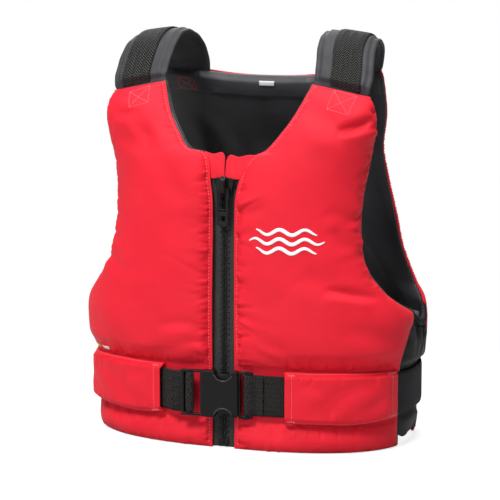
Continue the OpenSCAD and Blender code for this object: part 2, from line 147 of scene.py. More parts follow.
# Shoulder strap from front to back: [place, depth, height, inner edge, outer edge, fall outwards]
STRAP = np.array([[0, -66, SEAM_H + 1.5, 92, 157, 12],
                  [0.15, -57, SEAM_H + 0.33 * CREST_H, 91, 159, 12],
                  [0.34, -40, SEAM_H + 0.78 * CREST_H, 88, 156, 10],
                  [0.5, -17, SEAM_H + CREST_H, 87, 153, 9],
                  [0.66, 10, SEAM_H + 0.98 * CREST_H, 86, 150, 8],
                  [0.82, 34, SEAM_H + 0.74 * CREST_H, 83, 146, 6],
                  [0.93, 43, SEAM_H + 0.42 * CREST_H, 80, 142, 3],
                  [1, 45.5, SEAM_H + NECK_RISE + 3, 78, 140, 1]])


# ------------------------------------------------------------------ shape functions
def size(v):
    return np.linalg.norm(v, axis=-1)


def unit(v):
    return v / np.maximum(np.linalg.norm(v, axis=-1, keepdims=True), 1e-9)


def run_along(points, axis=0):
    """Distance covered along a path, or along every row or column of a grid."""
    first = points[:1] if axis == 0 else points[:, :1]
    return np.cumsum(size(np.diff(points, axis=axis, prepend=first)), axis)


def curve(s, rows, k):
    """Column k of a smooth curve through rows of [place, value, ...] at the places s."""
    x, v = rows[:, 0], rows[:, k]
    n = len(x)
    i = np.clip(np.searchsorted(x, s, side="right") - 1, 0, n - 2)
    lo, hi = np.maximum(np.arange(n) - 1, 0), np.minimum(np.arange(n) + 1, n - 1)
    slope = (v[hi] - v[lo]) / (x[hi] - x[lo])
    h = x[i + 1] - x[i]
    u = np.clip((s - x[i]) / h, 0, 1)
    return ((2 * u**3 - 3 * u**2 + 1) * v[i] + (u**3 - 2 * u**2 + u) * h * slope[i]
            + (3 * u**2 - 2 * u**3) * v[i + 1] + (u**3 - u**2) * h * slope[i + 1])


def signed_power(v, p):
    """Power of the size of v, with the sign of v."""
    return np.sign(v) * np.abs(v) ** p


def ease(v):
    """Smooth step from 0 at 0 to 1 at 1."""
    u = np.clip(v, 0, 1)
    return u * u * (3 - 2 * u)


def bell(v):
    """1 at 0, falling off smoothly either way."""
    return np.exp(-v * v)


def on_body(turn, z, off):
    """Points of the garment: turn about the upright axis in degrees, height, distance outwards."""
    p = 2 / curve(z, GIRTH, 4)
    t = np.radians(turn)
    depth = np.where(np.cos(t) > 0, curve(z, GIRTH, 2), curve(z, GIRTH, 3))
    return np.stack([(curve(z, GIRTH, 1) + off) * signed_power(np.sin(t), p),
                     MID_Y - (depth + off) * signed_power(np.cos(t), p), z + 0 * off], -1)


def turn_at(x, z):
    """Turn of the place that lies x across at height z, on the front."""
    share = np.clip(x / curve(z, GIRTH, 1), -1, 1)
    return np.degrees(np.arcsin(signed_power(share, curve(z, GIRTH, 4) / 2)))


def dome(u, v):
    """Fullness of a padded panel: 0 at its seams and 1 in the middle."""
    return (np.maximum(0, 1 - np.abs(2 * u - 1) ** 3) ** 0.6
            * np.maximum(0, 1 - np.abs(2 * v - 1) ** 6) ** 0.6)


def belt_press(z):
    """0 where the belt holds a panel flat, 1 away from it."""
    return ease((np.abs(z - BELT_Z) - FLAT_H) / FILL_H)


def near_belt(z):
    """1 behind the belt and its tunnels, 0 away from them."""
    return ease((TUNNEL_H / 2 + LOW_BAND - np.abs(z - BELT_Z)) / LOW_FADE)


def seam_rows(side):
    return np.array(SEAM_EDGE[side] + NECK_EDGE)


def front_xz(u, v, side=1):
    inner = seam_rows(side)
    x = (1 - u) * curve(v, inner, 1) + u * curve(v, ARM_EDGE, 1)
    z = (1 - u) * curve(v, inner, 2) + u * curve(v, ARM_EDGE, 2)
    return x, z


def front_at(u, v, off, side=1):
    x, z = front_xz(u, v, side)
    return on_body(turn_at(x, z), np.maximum(z, 0), off + 0 * z)


def neck_dip(u, v):
    """The back neck edge lies lower in the middle than beside the straps."""
    return ease((v - 0.7) / 0.3) * (0.5 - 7 * bell((2 * u - 1) / 0.5))


def back_at(u, v, off):
    edge, z = curve(v, BACK_EDGE, 1), curve(v, BACK_EDGE, 2)
    lift = neck_dip(u, v)[..., None] * [0, 0, 1]
    return on_body(edge + (360 - 2 * edge) * u, z, off + 0 * u) + lift


def strap_at(s, w, off):
    a, b = np.maximum(s - 0.02, 0), np.minimum(s + 0.02, 1)
    tilt = np.arctan2(curve(b, STRAP, 2) - curve(a, STRAP, 2), curve(b, STRAP, 1)
                      - curve(a, STRAP, 1))
    inner, outer = curve(s, STRAP, 3), curve(s, STRAP, 4)
    return np.stack([inner + (outer - inner) * w, MID_Y + curve(s, STRAP, 1) - off * np.sin(tilt),
                     curve(s, STRAP, 2) - curve(s, STRAP, 5) * w + off * np.cos(tilt)], -1)


def on_zip(x, y, z):
    """Points given on the zip line: Y into the body, Z up along the teeth."""
    x, y, z = np.broadcast_arrays(x, y, z)
    c, s = math.cos(ZIP_LEAN), math.sin(ZIP_LEAN)
    return np.stack([x + 0.0, MID_Y - ZIP_DEPTH + y * c + z * s, z * c - y * s], -1)


def in_buckle(x, y, z):
    x, y, z = np.broadcast_arrays(x, y, z)
    return np.stack([BUCKLE_AT[0] + x * BUCKLE_COS - y * BUCKLE_SIN,
                     BUCKLE_AT[1] + x * BUCKLE_SIN + y * BUCKLE_COS, BUCKLE_AT[2] + z], -1)


def places(rows, cols, v0=0.0, v1=1.0, u0=0.0, u1=1.0):
    """Grids of u and v for a sheet of rows by cols points."""
    v, u = np.meshgrid(np.linspace(v0, v1, rows), np.linspace(u0, u1, cols), indexing="ij")
    return u, v


def mirror(grid, side):
    """The wearer's left-hand grid moved to the given side, still facing outwards."""
    return grid if side > 0 else (grid * [-1, 1, 1])[:, ::-1]


def normals(grid):
    du, dv = np.gradient(grid, axis=1), np.gradient(grid, axis=0)
    return unit(np.cross(du, dv))


def resample(grid, rows, cols):
    """The same sheet through a smooth curve with rows by cols points."""
    for axis, count in ((0, rows), (1, cols)):
        n = grid.shape[axis]
        s = np.linspace(0, n - 1, count)
        i = np.minimum(s.astype(int), n - 2)
        t = (s - i).reshape((-1, 1, 1) if axis == 0 else (1, -1, 1))
        a, b, c, d = (np.take(grid, np.clip(i + k, 0, n - 1), axis) for k in (-1, 0, 1, 2))
        grid = 0.5 * (2 * b + (c - a) * t + (2 * a - 5 * b + 4 * c - d) * t * t
                      + (3 * b - a - 3 * c + d) * t**3)
    return grid


def edge_distance(grid):
    """Distance in mm of each point of a grid from its left, right, bottom and top edges."""
    left, low = run_along(grid, 1), run_along(grid)
    return left, left[:, -1:] - left, low, low[-1:] - low


def inset(grid, edge, gap):
    """Line that runs gap mm inside one edge of a grid, with the outward directions along it."""
    turn = {"left": lambda g: g, "right": lambda g: g[:, ::-1],
            "low": lambda g: g.transpose(1, 0, 2),
            "top": lambda g: g[::-1].transpose(1, 0, 2)}[edge]
    points, out = turn(grid), turn(normals(grid))
    run = run_along(points, 1)
    pick = [[np.interp(gap, run[i], both[i, :, k]) for i in range(len(run)) for k in range(3)]
            for both in (points, out)]
    return np.reshape(pick[0], (-1, 3)), np.reshape(pick[1], (-1, 3))


def locate(grid, x, z):
    """Points of a front grid that lie x across at height z, with the outward directions there."""
    flat, out = grid.reshape(-1, 3), normals(grid).reshape(-1, 3)
    x, z = np.atleast_1d(x).astype(float), np.atleast_1d(z).astype(float)
    near = np.array([np.argmin((flat[:, 0] - a) ** 2 + (flat[:, 2] - b) ** 2)
                     for a, b in zip(x, z)])
    p, n = flat[near], out[near]
    dx, dz = x - p[:, 0], z - p[:, 2]
    return p + np.stack([dx, -(n[:, 0] * dx + n[:, 2] * dz) / n[:, 1], dz], -1), n


def fold(x, z, a, b, wide, deep, bow=0.0):
    """Soft crease from a to b on a sheet with places x and z: a valley between two ridges."""
    (x0, z0), (x1, z1) = a, b
    long = math.hypot(x1 - x0, z1 - z0)
    along = ((x - x0) * (x1 - x0) + (z - z0) * (z1 - z0)) / long**2
    across = ((x - x0) * (z1 - z0) - (z - z0) * (x1 - x0)) / long + bow * 4 * along * (1 - along)
    fade = np.sin(np.pi * np.clip(along, 0, 1)) ** 0.8
    return deep * fade * (0.55 * bell((across - 1.9 * wide) / (1.5 * wide)) - bell(across / wide)
                          + 0.3 * bell((across + 2.2 * wide) / (1.6 * wide)))


def puckers(along, away, low, high, count, reach, wide, deep, rng, lean=0.0):
    """Short gathers that start at a seam, at random places from low to high along it: count of
    them, reach long, wide across and deep, all in mm, and leaning by lean."""
    total = 0 * away
    for start in rng.uniform(low, high, count):
        long = reach * rng.uniform(0.35, 1.5)
        width = wide * rng.uniform(0.7, 1.5)
        d = (along - start - (lean + rng.normal(0, 0.22)) * away) / width
        fade = np.clip(1 - away / long, 0, 1) ** 1.3 * ease(away / 2.5)
        total += deep * rng.uniform(0.4, 1.1) * fade * (0.6 * bell((d - 1.8) / 1.3) - bell(d))
    return total


# ------------------------------------------------------------------ cloth simulation
def pull(p, w, a, b, rest, stiff):
    """Moves the ends of each thread towards its rest length. a and b are slices of the grid."""
    d = p[b] - p[a]
    length = size(d)
    move = stiff * (length - rest) / np.maximum(length * (w[a] + w[b]), 1e-9)
    d *= move[..., None]
    p[a] += d * w[a][..., None]
    p[b] -= d * w[b][..., None]


DAMPING = 0.9
PULLS = 4
# Families of threads: [steps down the rows, steps along them, stiffness], then the benders
WEAVE = ((0, 1, 1), (1, 0, 1), (1, 1, 0.25), (1, -1, 0.25))
BENDERS = ((0, 2), (2, 0), (0, 4), (4, 0))


def threads(full, ease_u, ease_v, bend):
    """Families of threads of a grid: slices that share no points, rest length, stiffness."""
    families = []
    rows, cols = full.shape[:2]
    for di, dj, stiff in (*WEAVE, *((di, dj, bend) for di, dj in BENDERS)):
        step = max(di, abs(dj))
        for start in range(2 * step):
            if di:
                a = slice(start, rows - di, 2 * step), slice(max(-dj, 0), cols - max(dj, 0))
                b = slice(start + di, rows, 2 * step), slice(max(dj, 0), cols - max(-dj, 0))
            else:
                a = slice(0, rows), slice(start, cols - dj, 2 * step)
                b = slice(0, rows), slice(start + dj, cols, 2 * step)
            spare = abs(dj) * (ease_u[a] + ease_u[b]) + di * (ease_v[a] + ease_v[b])
            cut = 1 + spare / (2 * (abs(dj) + di))
            families.append((a, b, size(full[b] - full[a]) * cut, stiff))
    return families


def spare(least, *seams):
    """Share of spare cloth: a least share, and more beside seams of (share, distance, reach)."""
    total = least
    for share, away, reach in seams:
        total = total + share * np.exp(-away / reach)
    return total


def drape(start, base, normal, low, high, full, ease_u, ease_v, fixed, push=0.05, steps=110,
          bend=0.1, rough=0.3, seed=0):
    """Cloth simulation of one sewn panel. Threads keep their cut length, which is longer than the
    seams it is sewn to, the foam under it stops it at low, and it pushes the cloth outwards."""
    rng = np.random.default_rng(SEED + seed)
    p = start.copy()
    noise = rng.standard_normal(p.shape[:2])
    for _ in range(3):
        noise = (noise + np.roll(noise, 1, 0) + np.roll(noise, -1, 0) + np.roll(noise, 1, 1)
                 + np.roll(noise, -1, 1)) / 5
    w = np.where(fixed, 0.0, 1.0)
    p += normal * (rough * 4 * noise * w)[..., None]
    families = threads(full, ease_u, ease_v, bend)
    speed = np.zeros_like(p)
    for _ in range(steps):
        before = p.copy()
        p += DAMPING * speed + normal * (push * w)[..., None]
        for _ in range(PULLS):
            for a, b, rest, stiff in families:
                pull(p, w, a, b, rest, stiff)
            out = ((p - base) * normal).sum(-1)
            p += normal * ((np.clip(out, low, high) - out) * w)[..., None]
        speed = p - before
    return p


# ------------------------------------------------------------------ meshes
def link(name, mesh):
    obj = bpy.data.objects.new(name, mesh)
    bpy.context.scene.collection.objects.link(obj)
    return obj


def add_uv(mesh, coords):
    """UVs in metres of cloth for each vertex, so that a weave keeps its scale."""
    layer = mesh.uv_layers.new(name="cloth")
    index = np.empty(len(mesh.loops), int)
    mesh.loops.foreach_get("vertex_index", index)
    layer.data.foreach_set("uv", np.asarray(coords, float)[index].ravel())


def build(name, points, faces, material, body="garment", uv=None, nodes=()):
    """A smooth piece from points in mm and faces, which stands for the given CAD nodes."""
    mesh = bpy.data.meshes.new(name)
    mesh.from_pydata((np.asarray(points) * MM).tolist(), [], faces)
    mesh.update()
    if uv is not None:
        add_uv(mesh, uv)
    mesh.polygons.foreach_set("use_smooth", [True] * len(mesh.polygons))
    mesh.materials.append(material)
    obj = link(name, mesh)
    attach(obj, body)
    if nodes:
        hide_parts(*nodes)
    return obj


def join(parts):
    """One set of points, faces and UVs from several."""
    points, faces, uvs, first = [], [], [], 0
    for p, f, t in parts:
        points.append(p)
        uvs.append(t)
        faces += [[first + k for k in face] for face in f]
        first += len(p)
    return np.concatenate(points), faces, np.concatenate(uvs)


def grid_faces(rows, cols, first=0, flip=False):
    i, j = np.meshgrid(np.arange(rows - 1), np.arange(cols - 1), indexing="ij")
    a = (first + i * cols + j).ravel()
    quads = np.stack([a, a + 1, a + cols + 1, a + cols], -1)
    return (quads[:, ::-1] if flip else quads).tolist()


def ring_faces(rings, sides, first=0, flip=False):
    """Faces of a closed tube made of rings of points, with a cap at each end."""
    faces = []
    for i in range(first, first + (rings - 1) * sides, sides):
        for j in range(sides):
            k = (j + 1) % sides
            faces.append([i + j, i + k, i + sides + k, i + sides + j])
    last = first + (rings - 1) * sides
    faces += [list(range(first, first + sides))[::-1], list(range(last, last + sides))]
    return [face[::-1] for face in faces] if flip else faces


def cloth_uv(grid, turned=False):
    """UVs of a grid from the distances along its rows and up its middle column."""
    along, up = run_along(grid, 1), run_along(grid)
    mid = grid.shape[1] // 2
    along = along - along[:, mid:mid + 1]
    up = np.repeat(up[:, mid:mid + 1], grid.shape[1], 1)
    return np.stack([up, along] if turned else [along, up], -1).reshape(-1, 2) * MM


def shell_mesh(outer, inner, turned=False):
    """Closed solid between an outer and an inner grid."""
    rows, cols = outer.shape[:2]
    n = rows * cols
    faces = grid_faces(rows, cols) + grid_faces(rows, cols, n, True)
    ring = ([(0, j) for j in range(cols)] + [(i, cols - 1) for i in range(1, rows)]
            + [(rows - 1, j) for j in range(cols - 2, -1, -1)]
            + [(i, 0) for i in range(rows - 2, 0, -1)])
    ids = [i * cols + j for i, j in ring]
    faces += [[ids[k - 1], n + ids[k - 1], n + ids[k], ids[k]] for k in range(len(ids))]
    points = np.concatenate([outer.reshape(-1, 3), inner.reshape(-1, 3)])
    return points, faces, np.concatenate([cloth_uv(outer, turned), cloth_uv(inner, turned)])


def shell(name, outer, inner, material, nodes=(), turned=False):
    points, faces, uv = shell_mesh(outer, inner, turned)
    return build(name, points, faces, material, uv=uv, nodes=nodes)


def skin(name, grid, thick, material, nodes=(), turned=False):
    """Sheet of the given thickness under a grid."""
    inner = grid - normals(grid) * np.reshape(thick, np.shape(thick) + (1,))
    return shell(name, grid, inner, material, nodes, turned)


def directions(path):
    return unit(np.gradient(path, axis=0))


def tube_mesh(path, radius, sides=8):
    """Round cord along a path; radius may be one number or one for each point."""
    path = np.asarray(path, float)
    tangent = directions(path)
    ref = np.array([0, 0, 1.0]) if abs(tangent[0, 2]) < 0.8 else np.array([0, 1.0, 0])
    one = unit(np.cross(tangent, ref))
    two = np.cross(tangent, one)
    a = np.linspace(0, 2 * math.pi, sides, endpoint=False)[None, :, None]
    r = np.broadcast_to(radius, len(path))[:, None, None]
    rings = path[:, None] + r * (np.cos(a) * one[:, None] + np.sin(a) * two[:, None])
    n = len(path)
    uv = np.stack([np.repeat(np.arange(n), sides), np.tile(np.arange(sides) / sides, n)],
                  -1) * 0.01
    return rings.reshape(-1, 3), ring_faces(n, sides), uv


def along_path(path, out, pitch):
    """Points, directions and outward directions every pitch mm along a path."""
    run = run_along(path)
    at = np.arange(pitch / 2, run[-1] - pitch / 4, pitch)
    return [np.stack([np.interp(at, run, both[:, k]) for k in range(3)], -1)
            for both in (path, directions(path), out)]


# Rings of one stitch: [place along it, radius, height], as shares of its length and width
STITCH_RINGS = ((-0.5, 0.35, -0.25), (-0.28, 0.95, 0.1), (0.28, 0.95, 0.1), (0.5, 0.35, -0.25))


def stitch_mesh(path, out, pitch=STITCH_PITCH, long=2.3, wide=1.1, lift=0.12):
    """A row of stitches: each a short thread that dips into the cloth at both ends."""
    centre, ahead, up = along_path(path, out, pitch)
    ahead = unit(ahead)
    side = np.cross(ahead, up)
    sides, rings = 6, len(STITCH_RINGS)
    a = np.linspace(0, 2 * math.pi, sides, endpoint=False)
    points = np.empty((len(centre), rings, sides, 3))
    for k, (t, r, h) in enumerate(STITCH_RINGS):
        for m in range(sides):
            points[:, k, m] = (centre + ahead * long * t + up * (lift + h * wide)
                               + 0.5 * wide * r * (side * math.cos(a[m]) + up * math.sin(a[m])))
    faces = []
    for s in range(len(centre)):
        faces += ring_faces(rings, sides, s * rings * sides)
    uv = points.reshape(-1, 3)[:, [0, 2]] * MM
    return points.reshape(-1, 3), faces, uv


def sewn(name, lines, side, material, **kind):
    """Rows of stitches along lines of (points, outward directions), moved to the given side."""
    parts = [stitch_mesh(p * [side, 1, 1], n * [side, 1, 1], **kind) for p, n in lines]
    points, faces, uv = join(parts)
    return build(name, points, faces, material, uv=uv)


def box_of_stitches(corners):
    """Lines round four corners and across both diagonals, as a box with a cross in it."""
    a, b, c, d = corners
    return [(a, b), (b, c), (c, d), (d, a), (a, c), (b, d)]


def level_out(path):
    """Outward directions of a strap that stands on edge along a level path."""
    run = directions(path)
    return np.stack([run[:, 1], -run[:, 0], 0 * run[:, 0]], -1)


def belt_mesh(path, out):
    """Belt webbing that stands on edge along a path, with rounded selvedges."""
    s = np.linspace(-1, 1, 13)
    half = BELT_T / 2 * np.sqrt(np.maximum(1 - np.abs(s) ** 14, 0.06))
    ring = [(BELT_W / 2 * k, h) for k, h in zip(s, half)]
    ring += [(k, -h) for k, h in ring[::-1]]
    n, m = len(path), len(ring)
    points = np.stack([path + np.array([0, 0, 1.0]) * a + out * b for a, b in ring], 1)
    uv = np.stack([np.repeat(run_along(path), m), np.tile([a for a, _ in ring], n)], -1) * MM
    return points.reshape(-1, 3), ring_faces(n, m, flip=True), uv


def smooth_path(points, steps):
    """A fine path through listed points."""
    return resample(np.asarray(points, float)[:, None].repeat(2, 1), steps, 2)[:, 0]


def moulding(name, node, material, body, extra=(), voxel=0.42, rounds=7):
    """A CAD node and what is fused to it, as one moulding with rounded edges."""
    bm = bmesh.new()
    bm.from_mesh(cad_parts[node].data)
    bmesh.ops.remove_doubles(bm, verts=bm.verts, dist=0.002 * MM)
    for points, faces, _ in extra:
        verts = [bm.verts.new(p) for p in points * MM]
        for face in faces:
            bm.faces.new([verts[k] for k in face])
    mesh = bpy.data.meshes.new(name)
    bm.to_mesh(mesh)
    bm.free()
    obj = link(name, mesh)
    fuse = obj.modifiers.new("fuse", "REMESH")
    fuse.mode, fuse.voxel_size, fuse.adaptivity = "VOXEL", voxel * MM, 0
    soften = obj.modifiers.new("soften", "SMOOTH")
    soften.factor, soften.iterations = 0.5, rounds
    depsgraph = bpy.context.evaluated_depsgraph_get()
    baked = bpy.data.meshes.new_from_object(obj.evaluated_get(depsgraph))
    obj.modifiers.clear()
    obj.data = baked
    baked.polygons.foreach_set("use_smooth", [True] * len(baked.polygons))
    baked.materials.clear()
    baked.materials.append(material)
    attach(obj, body)
    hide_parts(node)
    return obj


# ------------------------------------------------------------------ materials
SKY = 0.15
FLOOR_GLOW = 0.72
FLOOR_REACH = 12
CAMERA_AT, CAMERA_AIM = (0.8005, -2.1943, 0.5807), (-0.0067, -0.0052, 0.217)
LENS, SENSOR = 141.6, 36
LIGHTS_AIM = (0, 0, 0.25)
# Studio lights: name, place and size in metres, power in watts
LIGHTS = (("key", (-0.5, -1.9, 2.9), 0.9, 108), ("low", (-1.3, -2.4, 0.6), 1.6, 15),
          ("fill", (2.4, -1.6, 1.2), 1.6, 8), ("top", (0.3, -0.1, 2.6), 1.0, 52),
          ("rear", (-1.2, 2.4, 1.8), 1.8, 30))


def new_material(name, color, rough, spec=0.5):
    mat = bpy.data.materials.new(name)
    mat.use_nodes = True
    shader = mat.node_tree.nodes["Principled BSDF"]
    shader.inputs["Base Color"].default_value = (*color, 1)
    shader.inputs["Roughness"].default_value = rough
    shader.inputs["Specular IOR Level"].default_value = spec
    return mat, mat.node_tree, shader


def math_node(tree, op, a, b=None):
    made = tree.nodes.new("ShaderNodeMath")
    made.operation = op
    for k, value in enumerate((a, b)):
        if isinstance(value, (int, float)):
            made.inputs[k].default_value = value
        elif value is not None:
            tree.links.new(value, made.inputs[k])
    return made.outputs[0]


def times(tree, a, b):
    return math_node(tree, "MULTIPLY", a, b)


def plus(tree, a, b):
    return math_node(tree, "ADD", a, b)


def cloth_axes(tree):
    """The cloth coordinate and its two axes, in metres of cloth."""
    coord = tree.nodes.new("ShaderNodeUVMap")
    coord.uv_map = "cloth"
    split = tree.nodes.new("ShaderNodeSeparateXYZ")
    tree.links.new(coord.outputs[0], split.inputs[0])
    return coord.outputs[0], split.outputs[0], split.outputs[1]


def wave(tree, axis, pitch):
    """Sine along one axis, from -1 to 1, repeating every pitch metres."""
    return math_node(tree, "SINE", times(tree, axis, 2 * math.pi / pitch))


def mottle(tree, coord, scale, detail=3.0):
    tex = tree.nodes.new("ShaderNodeTexNoise")
    tex.inputs["Scale"].default_value = scale
    tex.inputs["Detail"].default_value = detail
    tree.links.new(coord, tex.inputs["Vector"])
    return tex.outputs["Fac"]


def tint(tree, fac, dark, light, low=0.3, high=0.7):
    ramp = tree.nodes.new("ShaderNodeValToRGB")
    for element, place, color in zip(ramp.color_ramp.elements, (low, high), (dark, light)):
        element.position, element.color = place, (*color, 1)
    tree.links.new(fac, ramp.inputs[0])
    return ramp.outputs[0]


def bump(tree, shader, height, depth):
    made = tree.nodes.new("ShaderNodeBump")
    made.inputs["Distance"].default_value = depth
    tree.links.new(height, made.inputs["Height"])
    tree.links.new(made.outputs[0], shader.inputs["Normal"])


def woven(name, dark, light, rough, pitch, depth, sheen=0.0, spec=0.4, slub=0.5,
          sheen_tint=(1, 1, 1)):
    """Plain-woven cloth: crossing yarns in the bump, and uneven dye over several centimetres."""
    mat, tree, shader = new_material(name, light, rough, spec)
    coord, across, up = cloth_axes(tree)
    weave = times(tree, wave(tree, across, pitch), wave(tree, up, pitch))
    yarn = mottle(tree, coord, 900)
    patch = mottle(tree, coord, 22, 4)
    mixed = plus(tree, times(tree, patch, 1 - slub), times(tree, yarn, slub))
    tree.links.new(tint(tree, mixed, dark, light), shader.inputs["Base Color"])
    bump(tree, shader, plus(tree, weave, times(tree, yarn, 0.8)), depth)
    shader.inputs["Sheen Weight"].default_value = sheen
    shader.inputs["Sheen Roughness"].default_value = 0.45
    shader.inputs["Sheen Tint"].default_value = (*sheen_tint, 1)
    return mat


def ribbed(name, dark, light, pitch, depth):
    """Heavy webbing: chevrons of thick yarn that run along the strap."""
    mat, tree, shader = new_material(name, light, 0.6, 0.1)
    coord, along, across = cloth_axes(tree)
    slant = plus(tree, along, times(tree, math_node(tree, "PINGPONG", across, 1.6 * pitch), 1.1))
    ribs = wave(tree, slant, pitch)
    column = wave(tree, across, 1.6 * pitch)
    yarn = mottle(tree, coord, 1400)
    height = plus(tree, plus(tree, ribs, times(tree, column, 0.15)), times(tree, yarn, 0.9))
    # Colour follows the relief: darker in the hollows between the ribs (painted shade) and lighter
    # on the raised yarn (painted highlight), with random yarn tone mixed in
    yarn_tone_and_relief_shade = plus(tree, times(tree, height, 0.30), 0.36)
    tree.links.new(tint(tree, yarn_tone_and_relief_shade, dark, light, 0.3, 0.95), shader.inputs["Base Color"])
    bump(tree, shader, height, depth)
    shader.inputs["Sheen Weight"].default_value = 0.03
    return mat


def moulded(name, color, rough):
    """Moulded plastic with a fine eroded grain and slight mottling of the gloss."""
    mat, tree, shader = new_material(name, color, rough, 0.22)
    coord = tree.nodes.new("ShaderNodeTexCoord").outputs["Object"]
    wear = mottle(tree, coord, 120)
    spread = plus(tree, times(tree, wear, 0.16), rough - 0.08)
    tree.links.new(spread, shader.inputs["Roughness"])
    tree.links.new(tint(tree, wear, color, tuple(1.35 * c for c in color)),
                   shader.inputs["Base Color"])
    bump(tree, shader, mottle(tree, coord, 2600, 2), 0.00005)
    return mat


RED = woven("red_nylon", (0.70, 0.010, 0.026), (0.80, 0.014, 0.033), 0.50, 0.0011, 0.00009, 0.05,
            0.17, 0.3, (1.0, 0.5, 0.5))
RED_THREAD = woven("pale_thread", (0.80, 0.10, 0.13), (0.90, 0.17, 0.20), 0.7, 0.0006, 0.00003)
SEAM_THREAD = woven("red_thread", (0.76, 0.05, 0.07), (0.86, 0.09, 0.11), 0.7, 0.0006, 0.00003)
LINING = woven("lining", (0.016, 0.0155, 0.018), (0.030, 0.029, 0.033), 0.36, 0.0009, 0.00005,
               0.15, 0.3, 0.3)
STRETCH = woven("stretch_side", (0.007, 0.007, 0.008), (0.014, 0.014, 0.016), 0.45, 0.0012,
                0.00006, 0.03, 0.2)
PAD_CLOTH = woven("shoulder_cloth", (0.024, 0.0235, 0.027), (0.038, 0.037, 0.042), 0.55, 0.0010,
                  0.00007, 0.05, 0.3)
TAPE = woven("zip_tape", (0.016, 0.0175, 0.0175), (0.060, 0.062, 0.060), 0.8, 0.0018, 0.0003, 0.1,
             0.2, 0.7)
WEBBING = ribbed("webbing", (0.002, 0.002, 0.002), (0.105, 0.103, 0.100), 0.0034, 0.0012)
BELT_WEBBING = ribbed("belt_webbing", (0.0015, 0.0014, 0.0014), (0.085, 0.081, 0.078), 0.0034,
                      0.0012)
SIDE_WEBBING = ribbed("side_webbing", (0.007, 0.0075, 0.009), (0.034, 0.036, 0.042), 0.0021,
                      0.0003)
PLASTIC = moulded("buckle_plastic", (0.0035, 0.0035, 0.0038), 0.34)
ZIP_PLASTIC = moulded("zip_plastic", (0.004, 0.004, 0.0042), 0.34)
# Paler plastic for thin tubes along the buckle's notch edges: a painted highlight, not a colour of
# the buckle itself
HIGHLIGHT_RIM_PLASTIC = moulded("painted_highlight_rim", (0.03, 0.03, 0.031), 0.22)
FOAM = woven("foam", (0.55, 0.55, 0.52), (0.66, 0.66, 0.62), 0.9, 0.004, 0.0001)
INK = woven("white_print", (0.86, 0.86, 0.86), (0.95, 0.95, 0.95), 0.5, 0.0012, 0.00005)
LIME_INK = woven("lime_print", (0.66, 0.66, 0.04), (0.76, 0.76, 0.07), 0.5, 0.0012, 0.00005)
LABEL = woven("label_cloth", (0.5, 0.5, 0.5), (0.62, 0.62, 0.62), 0.7, 0.0008, 0.00006)


def floor_material():
    """White paper: it takes the shadow near the piece and is evenly white further away."""
    mat, tree, shader = new_material("pale_floor", (0.45, 0.45, 0.45), 0.9, 0.1)
    shader.inputs["Emission Color"].default_value = (1, 1, 1, 1)
    path = tree.nodes.new("ShaderNodeLightPath")
    tree.links.new(times(tree, path.outputs["Is Camera Ray"], FLOOR_GLOW),
                   shader.inputs["Emission Strength"])
    away = tree.nodes.new("ShaderNodeVectorMath")
    away.operation = "LENGTH"
    tree.links.new(tree.nodes.new("ShaderNodeTexCoord").outputs["Object"], away.inputs[0])
    fade = tree.nodes.new("ShaderNodeMapRange")
    fade.interpolation_type = "SMOOTHSTEP"
    fade.inputs["From Min"].default_value, fade.inputs["From Max"].default_value = 0.3, 0.6
    tree.links.new(away.outputs["Value"], fade.inputs["Value"])
    white = tree.nodes.new("ShaderNodeEmission")
    mix = tree.nodes.new("ShaderNodeMixShader")
    tree.links.new(times(tree, fade.outputs[0], path.outputs["Is Camera Ray"]), mix.inputs[0])
    tree.links.new(shader.outputs[0], mix.inputs[1])
    tree.links.new(white.outputs[0], mix.inputs[2])
    tree.links.new(mix.outputs[0], tree.nodes["Material Output"].inputs["Surface"])
    return mat


def point_at(obj, place, aim):
    obj.location = place
    obj.rotation_euler = (Vector(aim) - Vector(place)).to_track_quat("-Z", "Y").to_euler()


def stage():
    """Pale floor, soft studio light and the camera at the photograph's viewing angle."""
    scene = bpy.context.scene
    scene.view_settings.view_transform = "Standard"
    mesh = bpy.data.meshes.new("floor")
    corners = ((-1, -1), (1, -1), (1, 1), (-1, 1))
    mesh.from_pydata([(x * FLOOR_REACH, y * FLOOR_REACH, 0) for x, y in corners], [],
                     [(0, 1, 2, 3)])
    floor = link("floor", mesh)
    mesh.materials.append(floor_material())
    floor.location.z = -0.5 * MM
    world = bpy.data.worlds.new("studio")
    scene.world = world
    world.use_nodes = True
    sky = world.node_tree.nodes["Background"]
    sky.inputs[0].default_value = (1, 1, 1, 1)
    path = world.node_tree.nodes.new("ShaderNodeLightPath")
    seen = times(world.node_tree, path.outputs["Is Camera Ray"], 1 - SKY)
    world.node_tree.links.new(plus(world.node_tree, seen, SKY), sky.inputs[1])
    for name, place, wide, power in LIGHTS:
        light = bpy.data.lights.new(name, "AREA")
        light.energy, light.size = power, wide
        point_at(link(name, light), place, LIGHTS_AIM)
    cam = bpy.data.cameras.new("camera")
    cam.lens, cam.sensor_width = LENS, SENSOR
    view = link("camera", cam)
    point_at(view, CAMERA_AT, CAMERA_AIM)
    scene.camera = view


stage()


# ------------------------------------------------------------------ padded panels
def name_of(side):
    return "left" if side > 0 else "right"


def edge_mask(shape):
    """True along the four sewn edges of a grid."""
    fixed = np.zeros(shape, bool)
    fixed[0] = fixed[-1] = True
    fixed[:, 0] = fixed[:, -1] = True
    return fixed


FRONT_GRID = 320, 138
BACK_GRID = 220, 300
